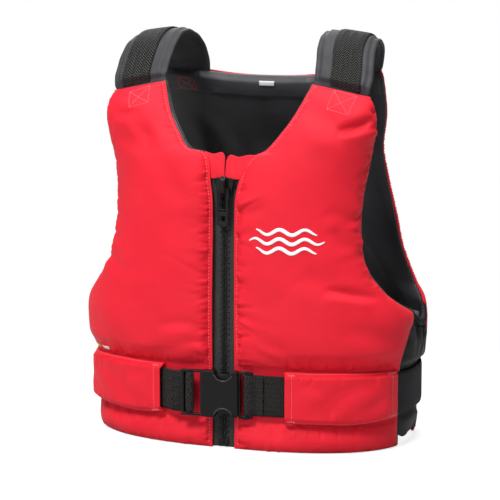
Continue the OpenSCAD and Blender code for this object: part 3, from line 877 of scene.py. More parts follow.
# Soft creases of the front panels: [from (across, height), to, width, depth, bow]
FOLDS = {1: [((70, 396), (150, 372), 9, 1.6, 5), ((128, 372), (168, 386), 4.5, 3.2, -3),
             ((96, 384), (150, 352), 9, 1.0, 4), ((122, 193), (176, 180), 4, 1.9, 2),
             ((96, 212), (160, 172), 12, 1.4, 8), ((40, 132), (98, 104), 7, 1.3, 5),
             ((30, 120), (74, 106), 5, 1.2, 2), ((150, 232), (128, 262), 5, 1.0, 2),
             ((118, 282), (154, 262), 6, 0.9, 3), ((84, 112), (176, 104), 7, 0.9, 3),
             ((24, 24), (120, 14), 8, 1.0, -3), ((150, 150), (196, 120), 8, 1.2, 4)],
             -1: [((148, 366), (96, 352), 11, 1.5, 6), ((128, 378), (88, 350), 8, 1.3, -4),
                  ((84, 384), (66, 358), 5, 1.5, 2), ((100, 374), (70, 318), 12, 1.1, 6),
                  ((150, 384), (108, 388), 5, 1.4, 2), ((70, 330), (40, 284), 12, 1.0, 5),
                  ((24, 130), (92, 112), 6, 1.2, -4), ((30, 148), (80, 140), 5, 0.8, 2),
                  ((100, 118), (176, 106), 8, 0.9, 3), ((176, 150), (150, 118), 8, 0.8, 3),
                  ((24, 26), (130, 12), 8, 1.0, -3), ((150, 222), (116, 196), 9, 0.9, 4)]}


# Depth in mm of the short and long gathers beside the zip and of those round the armhole
GATHERS = {1: (3.0, 3.3, 1.7), -1: (0.9, 1.1, 0.7)}


def flat_seam(x, z, side):
    """0 along the seam beside the zip, 1 away from it."""
    return ease((x - seam_line(z, side)) / 9)


def front_drape(side):
    """The cover's main shape: foam pushes it out between seams that it is gathered to."""
    rows, cols = FRONT_GRID
    u, v = places(rows // 2, cols // 2)
    x, z = front_xz(u, v, side)
    base = front_at(u, v, 0 * u, side)
    puff = FRONT_PUFF * dome(u, v) * belt_press(z) * flat_seam(x, z, side)
    in_belt = (np.abs(z - BELT_Z) < TUNNEL_H / 2 - 2) & (x > TUNNEL_IN - 4)
    full = front_at(u, v, puff, side)
    from_zip, from_arm, from_hem, from_top = edge_distance(full)
    ease_v = spare(0.004, (0.05, from_zip, 14), (0.035, from_arm, 14))
    ease_u = spare(0.004, (0.03, from_hem, 14), (0.025, from_top, 18))
    ease_u += 0.035 * bell((np.abs(z - BELT_Z) - TUNNEL_H / 2 - 8) / 12)
    fixed = edge_mask(u.shape) | (from_zip < STITCH_IN)
    lowest = np.where(in_belt, 0.0, LEAST_PUFF * puff)
    highest = np.where(in_belt, 0.1, puff + 1.8 * (1 - near_belt(z)))
    cover = drape(front_at(u, v, START_PUFF * puff, side), base, normals(base), lowest, highest,
                  full, ease_u, ease_v, fixed, seed=3 + side)
    return resample(cover, rows, cols)


def front_gathers(side, x, z, from_zip, from_arm, from_hem, rng):
    """Height in mm of the drawn creases and of the gathers beside each seam."""
    short, long, arm = GATHERS[side]
    detail = sum(fold(x, z, a, b, CREASE_WIDTH * wide, CREASE_DEPTH * deep, bow)
                 for a, b, wide, deep, bow in FOLDS[side])
    past_stitch = np.maximum(from_zip - STITCH_IN, 0)
    detail += puckers(z, past_stitch, 4, ZIP_H, 36, 26, 2.7, short, rng)
    detail += puckers(z, past_stitch, 12, 290, 14, 50, 4.6, long, rng, 0.1 * side)
    detail += puckers(z, from_arm, 150, 400, 34, 20, 2.7, arm, rng)
    detail += puckers(z, from_arm, 190, 340, 9, 44, 4.4, 2.3, rng, -0.25)
    above = np.where(z > BELT_Z, z - BELT_Z - TUNNEL_H / 2, FAR)
    below = np.where(z < BELT_Z, BELT_Z - TUNNEL_H / 2 - z, FAR)
    for away, count in ((above, 18), (below, 14)):
        gathers = puckers(x, np.maximum(away, 0), TUNNEL_IN, TUNNEL_OUT, count, 20, 3.0, 2.0, rng)
        detail += np.where(x > TUNNEL_IN - 6, gathers, 0)
    return detail + puckers(x, from_hem, 20, 185, 22, 16, 2.8, 1.4, rng)


def front_cover(side, rng):
    """Draped cover with its creases, gathers and the groove under the stitches beside the zip."""
    rows, cols = FRONT_GRID
    cover = front_drape(side)
    from_zip, from_arm, from_hem, from_top = edge_distance(cover)
    x, z = cover[..., 0], cover[..., 2]
    detail = front_gathers(side, x, z, from_zip, from_arm, from_hem, rng)
    keep = ease(from_zip / STITCH_IN) * ease(from_arm / 3)
    keep = keep * ease(from_hem / 2) * ease(from_top / 2)
    keep *= np.where((np.abs(z - BELT_Z) < TUNNEL_H / 2 - 2) & (x > TUNNEL_IN), 0.0, 1.0)
    groove = 0.75 * bell((from_zip - STITCH_IN) / 1.5) - 0.35 * bell((from_zip - 1.6) / 1.2)
    free = 1 - near_belt(z)
    deepest = -0.6 - (1.6 + 2.4 * dome(*places(rows, cols))) * free
    out = np.clip(detail, deepest, 3 * free - 0.2) * keep - groove * ease(from_hem / 3)
    cover = cover + normals(cover) * out[..., None]
    piece = skin(f"cover_front_{name_of(side)}", mirror(cover, side), CLOTH_T, RED,
                 nodes=[f"front_cover_{name_of(side)}"])
    return cover


def front_slab(side):
    """Foam inside a front panel, clear of its cover and lining."""
    rows, cols = FRONT_GRID
    u, v = places(rows // 4, cols // 4, 0.03, 0.97, 0.04, 0.96)
    x, z = front_xz(u, v, side)
    outer = SLAB_PUFF * FRONT_PUFF * dome(u, v) * belt_press(z) * flat_seam(x, z, side) + SLAB_OUT
    inner = SLAB_IN - SLAB_SHARE * FOAM_T * dome(u, v)
    shell(f"foam_slab_{name_of(side)}", mirror(front_at(u, v, outer, side), side),
          mirror(front_at(u, v, inner, side), side), FOAM, nodes=[f"foam_front_{name_of(side)}"])


def front_lining(side, rng):
    """Loose lining that dips behind the zip and ripples a little over the foam."""
    u, v = places(150, 70, 0.0, 1.004, -0.006, 1.008)
    x, z = front_xz(u, v, side)
    phase = rng.uniform(0, 6, 2)
    fullness = dome(np.clip(u, 0, 1), np.clip(v, 0, 1))
    ripple = (np.sin(u * 9 + v * 14 + phase[0])
              + np.sin(u * 5 - v * 23 + phase[1])) * 0.7 * fullness
    dip = 3.4 * (1 - ease((x - seam_line(z, side)) / 10)) * ease((ZIP_H + 12 - z) / 20)
    deep = LINING_TOP - dip - LINING_SHARE * FOAM_T * fullness + ripple
    inner, outer = (mirror(front_at(u, v, deep - drop, side), side)[:, ::-1]
                    for drop in (LINING_T, 0))
    shell(f"lining_{name_of(side)}", inner, outer, LINING, nodes=[f"lining_front_{name_of(side)}"])


def front_panel(side):
    """Cover, foam and lining of one front panel, worked out on the wearer's left."""
    rng = np.random.default_rng(SEED + 40 + side)
    cover = front_cover(side, rng)
    front_slab(side)
    front_lining(side, rng)
    return cover


def seam_line(z, side):
    """Distance across of the seam beside the zip at height z."""
    rows = seam_rows(side)[:6]
    return np.interp(z, rows[:, 2], rows[:, 1])


# Soft creases of the back panel, as on the front
BACK_FOLDS = [((-120, 330), (-60, 300), 10, 1.2, 5), ((120, 326), (66, 292), 10, 1.2, -5),
              ((-60, 360), (60, 356), 12, 0.9, 6), ((-90, 160), (30, 146), 12, 1.0, 6),
              ((110, 190), (20, 176), 11, 0.9, -6), ((-150, 220), (-96, 236), 9, 1.0, 4)]


def back_drape():
    """The main shape of the back cover, as on the front."""
    rows, cols = BACK_GRID
    u, v = places(rows // 2, cols // 2)
    base = back_at(u, v, 0 * u)
    z = curve(v, BACK_EDGE, 2)
    puff = BACK_PUFF * dome(u, v) * belt_press(z)
    full = back_at(u, v, puff)
    left, right, low_edge, top = edge_distance(full)
    ease_v = spare(0.005, (0.012, np.minimum(left, right), 16))
    ease_u = spare(0.005, (0.03, low_edge, 16), (0.03, top, 18))
    ease_u += 0.03 * bell((np.abs(z - BELT_Z) - TUNNEL_H / 2 - 6) / 12)
    in_belt = np.abs(z - BELT_Z) < TUNNEL_H / 2 - 4
    lowest = np.where(in_belt, 0.0, LEAST_PUFF * puff)
    highest = np.where(in_belt, 0.5, puff + 1.6)
    cover = drape(back_at(u, v, START_PUFF * puff), base, normals(base), lowest, highest, full,
                  ease_u, ease_v, edge_mask(u.shape), seed=8)
    return resample(cover, rows, cols)


def back_cover(rng):
    """Draped cover of the back with its gathers, creases and the raised rim at the straps."""
    cover = back_drape()
    left, right, low_edge, top = edge_distance(cover)
    x, z = cover[..., 0], cover[..., 2]
    detail = puckers(z, np.minimum(left, right), 10, 420, 56, 17, 2.4, 0.2, rng)
    above = np.where(z > BELT_Z, z - BELT_Z - TUNNEL_H / 2 + 6, FAR)
    below = np.where(z < BELT_Z, BELT_Z - z - 24, FAR)
    for away in (above, below):
        detail += puckers(x, np.maximum(away, 0), -190, 190, 34, 20, 3.0, 1.2, rng)
    detail += puckers(x, low_edge, -185, 185, 40, 14, 2.6, 0.9, rng)
    detail += puckers(x, top, -120, 120, 22, 20, 2.8, 0.9, rng)
    for a, b, wide, deep, bow in BACK_FOLDS:
        detail += fold(x, z, a, b, wide, deep, bow)
    keep = ease(left / 3) * ease(right / 3) * ease(low_edge / 2) * ease(top / 2)
    keep *= np.where(np.abs(z - BELT_Z) < BELT_W / 2 + 1, 0.0, 1.0)
    rim = 2.4 * (1 - bell(x / 62)) * ease((z - SEAM_H + 6) / 12)
    cover = cover + normals(cover) * (np.maximum(detail, -2.4) * keep)[..., None]
    cover = cover + rim[..., None] * [0, 0, 1]
    piece = skin("cover_back", cover, CLOTH_T, RED, nodes=["back_cover"])
    return cover


def back_slab():
    """Foam inside the back panel."""
    rows, cols = BACK_GRID
    u, v = places(rows // 4, cols // 4, 0.03, 0.97, 0.03, 0.97)
    outer = SLAB_PUFF * BACK_PUFF * dome(u, v) * belt_press(curve(v, BACK_EDGE, 2)) + SLAB_OUT
    inner = SLAB_IN - SLAB_SHARE * FOAM_T * dome(u, v)
    shell("foam_slab_back", back_at(u, v, outer), back_at(u, v, inner), FOAM, nodes=["foam_back"])


def lining_depth(u, v):
    return LINING_TOP - LINING_SHARE * FOAM_T * dome(u, v)


def back_lining():
    """Loose lining with soft upright folds below the yoke."""
    u, v = places(150, 140, 0.0, 1.0, -0.004, 1.004)
    cu, cv = np.clip(u, 0, 1), np.clip(v, 0, 1)
    folds = 2.2 * np.sin(cu * 23 + 4 * np.sin(cv * 5)) + 1.6 * np.sin(cu * 38 - cv * 11)
    deep = lining_depth(cu, cv) + folds * dome(cu, cv) * ease((0.9 - cv) / 0.1)
    inner, outer = (back_at(u, v, deep - drop)[:, ::-1] for drop in (LINING_T, 0))
    shell("lining_back_sheet", inner, outer, LINING, nodes=["lining_back"])


def back_panel():
    rng = np.random.default_rng(SEED + 60)
    cover = back_cover(rng)
    back_slab()
    back_lining()
    yoke_band(rng)
    return cover


def yoke_at(u, v):
    """Inner face of the folded band of lining cloth along the back neck."""
    cu, cv = np.clip(u, 0, 1), np.clip(v, 0, 1)
    share = (YOKE_HIGH - v) / (YOKE_HIGH - YOKE_LOW)
    stand = 0.8 + 2.6 * np.sin(np.pi * np.clip(share * 0.75, 0, 1)) ** 0.8
    sway = 0.7 * np.sin(cu * 40 + 1.5 * np.sin(cu * 11)) * share
    return back_at(u, v, lining_depth(cu, cv) - LINING_T - stand - sway)


def yoke_band(rng):
    u, v = places(26, 150, YOKE_LOW, YOKE_HIGH, 0.0, 1.0)
    grid = yoke_at(u, v)
    share = (YOKE_HIGH - v) / (YOKE_HIGH - YOKE_LOW)
    gathers = puckers(u * 300, share * 14, 15, 285, 18, 11, 3.0, 1.0, rng)
    grid = grid - normals(grid) * (0.8 * gathers)[..., None]
    skin("neck_yoke", grid[:, ::-1], 0.8, LINING)
    hem, out = inset(grid[:, ::-1], "low", 3.0)
    sewn("neck_yoke_stitches", [(hem, out)], 1, PAD_CLOTH, long=2.0, wide=0.6)
    for name, near, far in (("left", 0.10, 0.20), ("right", 0.80, 0.90)):
        corners = ((near, 0.948), (far, 0.950), (far, 0.977), (near, 0.975))
        lines = []
        for (u0, v0), (u1, v1) in box_of_stitches(corners):
            k = np.linspace(0, 1, 12)
            rows = np.array([[-0.002], [0], [0.002]])
            line = yoke_at(np.tile(u0 + (u1 - u0) * k, (3, 1)), v0 + (v1 - v0) * k + rows)
            lines.append((line[1], -normals(line)[1]))
        sewn(f"rear_strap_box_{name}", lines, 1, SEAM_THREAD, pitch=2.7, long=1.9, wide=0.7)


YOKE_LOW, YOKE_HIGH = 0.945, 1.003
BACK_STITCH_IN = 5
cover_front = {side: front_panel(side) for side in (1, -1)}
cover_back = back_panel()
back_lines = [inset(cover_back, edge, BACK_STITCH_IN) for edge in ("left", "right", "top", "low")]
sewn("back_stitches", back_lines, 1, RED_THREAD)


# ------------------------------------------------------------------ zip
def facing(side):
    """Flat flap between the top of the zip and the neck, with a rounded corner at the notch."""
    b, a = places(26, 22)
    seam_top = SEAM_EDGE[side][-1]
    outer_z = FACING_LOW + (seam_top[2] + 1.5 - FACING_LOW) * a
    outer_x = seam_line(outer_z, side) + 1.5
    inner_x = 0.35 + 0.5 * ease((a - 0.25) / 0.75)
    x = inner_x + (outer_x - inner_x) * b
    top = seam_top[2] + 1.5 - 2.5 * np.sin(np.pi * np.clip((x - 4) / 24, 0, 1)) ** 2
    top = top - 7.5 * (1 - np.sqrt(np.maximum(0, 1 - np.clip(1 - (x - inner_x) / 7, 0, 1) ** 2)))
    z = FACING_LOW + (top - FACING_LOW) * a
    off = -1.3 + 0.5 * np.sin(a * 5 + side) * b * (1 - b) * 4
    grid = on_body(turn_at(x, z), z, off)
    skin(f"facing_{name_of(side)}", mirror(grid, side), 1.0, RED,
         nodes=[f"zip_facing_{name_of(side)}"])


def zip_tape(side):
    """Woven tape: its inner edge carries a cord for the teeth, and its top folds outwards."""
    b, a = places(150, 16)
    z = 1 + (ZIP_H - 1) * a
    inner = 0.2 + 8.7 * ease((z - ZIP_H + 16) / 14)
    outer = TAPE_OUT + 3.0 * ease((z - 288) / 28)
    x = inner + (outer - inner) * b
    y = -TAPE_T / 2 - 1.1 * bell((x - inner - 3.8) / 1.1) + 0.16 * np.sin(z * 0.33 + side) * b
    y = y - 0.8 * ease((z - ZIP_H + 10) / 10) * (1 - b)
    skin(f"tape_{name_of(side)}", mirror(on_zip(x, y, z), side), TAPE_T, TAPE,
         nodes=[f"zip_tape_{name_of(side)}"], turned=True)


# Shapes of a tooth seen from the side: [depth, share of the outline]
LEG_PROFILE = ((1.7, 0.96), (-0.9, 1.0), (-1.4, 0.9), (-1.6, 0.6), (-1.65, 0.2))
HEAD_PROFILE = ((1.6, 0.9), (-1.2, 1.0), (-2.0, 0.93), (-2.4, 0.72), (-2.35, 0.5), (-2.0, 0.3),
                (-1.9, 0.1))
HEAD_R, HEAD_AT = 2.15, -1.7


def tooth_mesh():
    """One moulded tooth on the wearer's left: a narrow leg and a round head with a dimple."""
    half = TOOTH_H / 2
    leg = [(6.3, 0), (6.0, 0.8), (5.2, 1.05), (1.0, 0.95), (-0.4, 0.95), (-2.6, 0.8), (-3.3, 0)]
    outline = np.array(leg + [(x, -h) for x, h in leg[::-1][1:-1]])
    boss = np.linspace(0, 2 * math.pi, 14, endpoint=False)
    head = HEAD_R * np.stack([np.cos(boss), np.sin(boss)], -1)
    parts = []
    for centre, loop, profile in (((1.4, 0), outline - [1.4, 0], LEG_PROFILE),
                                  ((HEAD_AT, 0), head, HEAD_PROFILE)):
        rings = []
        for depth, scale in profile:
            ring = centre + loop * scale
            rings.append(np.stack([ring[:, 0], np.full(len(ring), depth), ring[:, 1] + half], -1))
        points = np.concatenate(rings)
        parts.append((points, ring_faces(len(rings), len(loop)), points[:, [0, 2]] * MM))
    return join(parts)


def zip_teeth(side):
    """Row of teeth of one side; the two sides stand half a pitch apart."""
    points, faces, uv = tooth_mesh()
    if side < 0:
        points = points * [-1, 1, 1]
        faces = [f[::-1] for f in faces]
    first = ZIP_START + 6
    count = math.floor((ZIP_H - first - 6) / TOOTH_PITCH)
    shift = 0 if side > 0 else TOOTH_PITCH / 2
    heights = [first + shift + i * TOOTH_PITCH for i in range(count)]
    points, faces, uv = join([(on_zip(*(points + [0, 0, z]).T), faces, uv) for z in heights])
    build(f"teeth_{name_of(side)}", points, faces, ZIP_PLASTIC, uv=uv,
          nodes=[f"zip_teeth_{name_of(side)}"])


def arc(cx, cz, r, a0, a1, y, steps=14):
    """Upright arc from a0 to a1 degrees round (cx, cz)."""
    w = np.radians(np.linspace(a0, a1, steps))
    return np.stack([cx + r * np.cos(w), np.full(steps, y), cz + r * np.sin(w)], -1)


def slider_and_puller():
    """Slider with a domed bridge, and the puller that hangs from it."""
    z = ZIP_H - SLIDER_DROP
    arch = np.interp(np.linspace(0, 1, 12), [0, 0.2, 0.8, 1], [-5, -9.9, -9.9, -5])
    crowns = [on_zip(x, arch, z + np.linspace(-9.5, 9.5, 12)) for x in (-1.2, 1.2)]
    shoulders = [arc(k * 7.6, z + 3.5, 4.2, 90 - k * 20, 90 - k * 110, -4.2, 9) for k in (1, -1)]
    extra = [tube_mesh(smooth_path(crown, 40), 2.4, 12) for crown in crowns]
    extra += [tube_mesh(on_zip(*path.T), 1.5, 8) for path in shoulders]
    moulding("slider", "zip_slider", ZIP_PLASTIC, "slider", extra, 0.3, 5)
    face, low = PULLER_FACE - 0.7, z - PIVOT_DROP
    rims = []
    for half, top, foot, bow in ((6.3, 2, -39, 3.4), (3.9, 0, -22.5, 2.2), (3.1, -30, -36.5, 1.6)):
        loop = ((-1, top), (-1, foot + bow), (-0.7, foot), (0.7, foot), (1, foot + bow), (1, top))
        ring = smooth_path([(k * half, face, low + h) for k, h in loop], 60)
        rims.append(tube_mesh(on_zip(*ring.T), 0.85, 8))
    moulding("puller", "zip_puller", ZIP_PLASTIC, "puller", rims, 0.26, 3)
    for name, node in (("stops", "zip_top_stops"), ("retainer_box", "zip_retainer")):
        moulding(name, node, ZIP_PLASTIC, "garment", (), 0.25, 4)


for side in (1, -1):
    facing(side)
    zip_tape(side)
    zip_teeth(side)
    seam = inset(cover_front[side], "left", STITCH_IN)
    keep = seam[0][:, 2] > 3
    sewn(f"zip_stitches_{name_of(side)}", [(seam[0][keep], seam[1][keep])], side, RED_THREAD)
slider_and_puller()


# ------------------------------------------------------------------ belt and its tunnels
# Soft creases of a tunnel, as on the panels
TUNNEL_FOLDS = [((96, 44), (168, 86), 8, 1.5, 5), ((110, 40), (140, 62), 6, 1.0, 3),
                ((88, 82), (122, 70), 7, 0.9, 3), ((150, 50), (180, 74), 6, 1.0, -3)]


def tunnel_roof(x):
    """Height of the sleeve over the panel, which falls off towards its outer end."""
    return TUNNEL_ROOF * ease((TUNNEL_OUT - x) / (TUNNEL_OUT - TUNNEL_IN) * 4 + 0.5)


def belt_tunnel(side):
    """Red sleeve sewn to the panel along its top and bottom, open at both ends."""
    rng = np.random.default_rng(SEED + 70 + side)
    rows, cols = 64, 120
    a, p = places(rows, cols)
    x = TUNNEL_IN + (TUNNEL_OUT - TUNNEL_IN) * a
    half = TUNNEL_H / 2 - 1.6 * ease((a - 0.5) / 0.5)
    sag = 2.6 * np.sin(np.pi * a) * (1 - p) ** 2
    sag += 0.7 * np.sin(np.pi * a * 3 + side) * (1 - p) ** 3
    z = BELT_Z - half + 2 * half * p - sag
    edge = np.minimum(p, 1 - p) * 2
    off = 2.0 + (tunnel_roof(x) - 2.0) * ease(edge / 0.2) ** 0.75
    off += 1.6 * np.sin(np.pi * p) * np.sin(np.pi * a)
    # Grooves under the stitches, and the rolled edges outside them
    off -= 1.1 * bell((p - 0.93) / 0.02) + 0.9 * bell((p - 0.085) / 0.022)
    off += 1.3 * bell((p - 0.985) / 0.02) + 2.0 * bell((p - 0.015) / 0.03)
    from_in, from_out = (x - TUNNEL_IN), (TUNNEL_OUT - x)
    off -= 0.5 * bell((from_in - 7.8) / 1.6) + 1.0 * bell((from_out - 6.3) / 1.6)
    high, low = (1 - p) * TUNNEL_H, p * TUNNEL_H
    first, last = TUNNEL_IN + 10, TUNNEL_OUT - 8
    crease = puckers(x, np.maximum(high - 4, 0), first, last, 16, 14, 2.2, 0.9, rng)
    crease += puckers(x, np.maximum(low - 5, 0), first, last, 14, 12, 2.4, 0.9, rng)
    for start, end, wide, deep, bow in TUNNEL_FOLDS:
        crease += fold(x, z, start, end, wide, deep, bow)
    off += np.maximum(crease, -0.9) * ease(edge / 0.2) * ease(from_in / 10) * ease(from_out / 9)
    grid = on_body(turn_at(x, BELT_Z + 0 * x), BELT_Z + 0 * x, off)
    grid[..., 2] = z
    thick = np.where((from_in < 8) | (from_out < 8) | (edge < 0.08), 1.6, 1.2)
    piece = skin(f"tunnel_{name_of(side)}", mirror(grid, side), thick, RED,
                 nodes=[f"belt_tunnel_{name_of(side)}"])
    trim = (slice(5, -4), slice(4, -4))
    lines = [inset(grid[trim], "left", 4.2), inset(grid[trim], "right", 3.2)]
    lines += [inset(grid[:, 2:-2], "top", 4.2), inset(grid[:, 2:-2], "low", 5.0)]
    sewn(f"tunnel_stitches_{name_of(side)}", lines, side, RED_THREAD, pitch=3.4, long=2.1,
         wide=1.0)
    bars = []
    for i in (4, rows - 5):
        for j in (4, cols - 10):
            strip, out = grid[i, j:j + 9], normals(grid)[i, j:j + 9]
            for lift in (-0.45, 0.45):
                bars.append((strip + [0, 0, lift], out))
    sewn(f"bar_tacks_{name_of(side)}", bars, side, RED_THREAD, pitch=0.9, long=1.7, wide=1.1,
         lift=0.3)


def buckle_band(name, path, body, node):
    """Webbing standing on edge along a path given in the buckle's own frame."""
    path = smooth_path([(x, y, 0) for x, y in path], 150)
    turn = np.array([[BUCKLE_COS, -BUCKLE_SIN, 0], [BUCKLE_SIN, BUCKLE_COS, 0], [0, 0, 1]])
    points, faces, uv = belt_mesh(in_buckle(*path.T), level_out(path) @ turn.T)
    build(name, points, faces, BELT_WEBBING, body, uv, [node])


def in_tunnel(x):
    """Place in the buckle's frame of the belt inside the wearer's right tunnel, x mm out."""
    p = on_body(-turn_at(x, BELT_Z), BELT_Z, BELT_LIFT + BELT_T / 2)
    dx, dy = p[0] - BUCKLE_AT[0], p[1] - BUCKLE_AT[1]
    return dx * BUCKLE_COS + dy * BUCKLE_SIN, dy * BUCKLE_COS - dx * BUCKLE_SIN


def turn_round(x, r, a, b, steps=8):
    """Turn of webbing round a bar at x, from a to b degrees."""
    w = np.radians(np.linspace(a, b, steps))
    return [(x + r * math.cos(k), r * math.sin(k)) for k in w]


def belts():
    """The adjustable end, the end on the tongue, and the length round the back."""
    low = BAR_R + PLY_GAP + BELT_T / 2
    deep = low + BELT_T + PLY_GAP
    right = [in_tunnel(x) for x in (HIDDEN_BELT - 2, 100, 88, 78)]
    right += [(OUTER_BAR - 14, deep + 1), (OUTER_BAR, deep), (INNER_BAR - 2, deep)]
    right += turn_round(INNER_BAR, low, 60, -60) + turn_round(INNER_BAR, low, -90, -150, 4)
    right += [(OUTER_BAR + 4, 0.6), (OUTER_BAR + 3.2, low - 0.2), (OUTER_BAR, low),
              (OUTER_BAR - 14, low + 0.2)]
    buckle_band("belt_right", right, "garment", "belt_webbing_right")
    left = [(STRIP_END - BUCKLE_AT[0], 0), (TONGUE_BAR + 22, 0), (TONGUE_BAR + 9, low * 0.8),
            (TONGUE_BAR + 2, low)]
    left += turn_round(TONGUE_BAR, low, 90, 270)
    left += [(TONGUE_BAR + 2, -low), (TONGUE_BAR + 9, 0.8 * low - BELT_T - PLY_GAP),
             (TONGUE_BAR + 19, -BELT_T - PLY_GAP)]
    buckle_band("belt_left", left, "tongue", "belt_webbing_left")
    start = turn_at(HIDDEN_BELT, BELT_Z)
    turns = np.linspace(start, 360 - start, 300)
    path = on_body(turns, BELT_Z + 0 * turns, BELT_LIFT + BELT_T / 2 + 0 * turns)
    points, faces, uv = belt_mesh(path, level_out(path))
    build("belt_back", points, faces, SIDE_WEBBING, uv=uv, nodes=["belt_webbing_back"])


for side in (1, -1):
    belt_tunnel(side)
belts()


# ------------------------------------------------------------------ buckle
# One wing of the tongue: [along the belt, into the body, below the buckle's top]
WING = [(HOUSING_L / 2 + 1.4, -2.0, 8), (HOUSING_L / 2 + 2.2, -2.2, 3),
        (HOUSING_L / 2 + 5, -2.0, 0.6), (TONGUE_BAR, -1.0, 0.3), (TONGUE_BAR + 3.4, 0, 1.8),
        (TONGUE_BAR + 4.2, 0.6, 5)]


def buckle():
    """Mouldings of the buckle with rims round the finger notches."""
    face = -BUCKLE_T / 2
    rims = []
    for k in (1, -1):
        for y in (face + 0.7, -face - 0.7):
            ring = arc(NOTCH_X, k * HALF_H, NOTCH_R + 1.0, -k * 8, -k * 172, y)
            rims.append(tube_mesh(in_buckle(*ring.T), 1.25, 8))
    moulding("buckle_body", "buckle_housing", PLASTIC, "garment", rims, 0.45, 7)
    # Paler glossy tubes just inside the notch rims on the front face: a painted highlight along
    # the edges
    highlight_rims = []
    for k in (1, -1):
        ring = arc(NOTCH_X, k * HALF_H, NOTCH_R + 0.7, -k * 20, -k * 160, face + 0.1, 24)
        highlight_rims.append(tube_mesh(in_buckle(*ring.T), 0.95, 8))
    points, faces, uv = join(highlight_rims)
    build("buckle_notch_highlights", points, faces, HIGHLIGHT_RIM_PLASTIC, uv=uv)
    wings = []
    for k in (1, -1):
        path = smooth_path([(x, y, k * (HALF_H - z)) for x, y, z in WING], 30)
        wings.append(tube_mesh(in_buckle(*path.T), 1.9, 10))
    moulding("tongue", "buckle_tongue_frame", PLASTIC, "tongue", wings, 0.4, 6)
    for name, prong in (("prong_top", "prong_upper"), ("prong_bottom", "prong_lower")):
        moulding(name, f"buckle_{prong}", PLASTIC, prong, (), 0.35, 5)


buckle()


# ------------------------------------------------------------------ sides
SIDE_HEM, SIDE_TOP, SIDE_DIP, SIDE_END = 14, 150, 14, 104


def side_front(z):
    """Turn of a side panel's front edge at height z."""
    return turn_at(curve(z / 440, ARM_EDGE, 1), z)


def side_panel(side):
    """Stretch cloth between the front and back panels, gathered by the elastic above it."""
    rng = np.random.default_rng(SEED + 80 + side)
    rows, cols = 130, 96
    a, p = places(rows, cols)
    hem = SIDE_HEM - 5 * np.sin(np.pi * a) + 2.5 * np.sin(a * 11 + 2 * side)
    top = SIDE_TOP - SIDE_DIP * np.sin(np.pi * a)
    z = hem + (top - hem) * p
    first = side_front(z) - 1.5
    turn = first + (SIDE_END + 2.5 - first) * a
    base = on_body(turn, z, 0 * z - 2.5)
    normal = normals(base)
    in_belt = ease((np.abs(z - BELT_Z) - BELT_W / 2 - 1) / 14)
    crown = np.sin(np.pi * a) ** 0.7 * in_belt * np.sin(np.pi * np.clip(p, 0.02, 0.98)) ** 0.4
    full = base + normal * (5 * crown)[..., None]
    left, right, low_edge, top_edge = edge_distance(full)
    ease_u = spare(0.02, (0.12, top_edge, 22), (0.06, low_edge, 14))
    ease_v = spare(0.02, (0.05, np.minimum(left, right), 14))
    start = base + normal * (3.5 * crown)[..., None]
    lowest, highest = -1.0 - 2.5 * crown, 0.2 + 9 * crown
    sheet = drape(start, base, normal, lowest, highest, full, ease_u, ease_v, edge_mask(z.shape),
                  push=0.07, steps=90, bend=0.05, rough=0.9, seed=30 + side)
    detail = puckers(turn * 3.4, top_edge, 290, 370, 26, 34, 2.6, 2.0, rng)
    detail += puckers(turn * 3.4, low_edge, 290, 370, 14, 20, 3.0, 1.5, rng)
    detail += (puckers(z, left, 20, 140, 16, 16, 2.6, 1.3, rng)
               + puckers(z, right, 20, 140, 16, 16, 2.6, 1.3, rng))
    nearest = np.minimum(np.minimum(left, right), np.minimum(low_edge, top_edge))
    keep = ease(nearest / 3) * (0.15 + 0.85 * in_belt)
    sheet = sheet + normals(sheet) * (detail * keep)[..., None]
    piece = skin(f"side_{name_of(side)}", mirror(sheet, side), 1.0, STRETCH,
                 nodes=[f"side_panel_{name_of(side)}"])


def armhole_elastic(side):
    """Elastic in a gathered casing: a fat cord with close crinkles."""
    rng = np.random.default_rng(SEED + 90 + side)
    rings, sides = 150, 16
    a = np.linspace(0, 1, rings)[:, None]
    w = np.linspace(0, 2 * np.pi, sides, endpoint=False)[None]
    z = SIDE_TOP + 4 - SIDE_DIP * np.sin(np.pi * a)
    first = side_front(np.array(SIDE_TOP)) - 1.0
    turn = first + (SIDE_END + 1.5 - first) * a
    phase = np.cumsum(rng.uniform(0.45, 1.1, rings))[:, None]
    radius = 3.4 + 0.75 * np.sin(phase + 0.9 * np.sin(w + a * 8))
    radius = radius + 0.3 * np.sin(2.3 * phase - 2 * w)
    tall = 1.25 + 0.12 * np.sin(phase * 0.37)
    points = on_body(turn + 0 * w, z + radius * tall * np.cos(w), -1.6 + radius * np.sin(w))
    points = points.reshape(-1, 3) * [side, 1, 1]
    faces = ring_faces(rings, sides, flip=side > 0)
    uv = np.stack([(a * 120 + 0 * w).ravel(), (w * 4 + 0 * a).ravel()], -1) * MM
    build(f"elastic_{name_of(side)}", points, faces, STRETCH, uv=uv,
          nodes=[f"armhole_elastic_{name_of(side)}"])


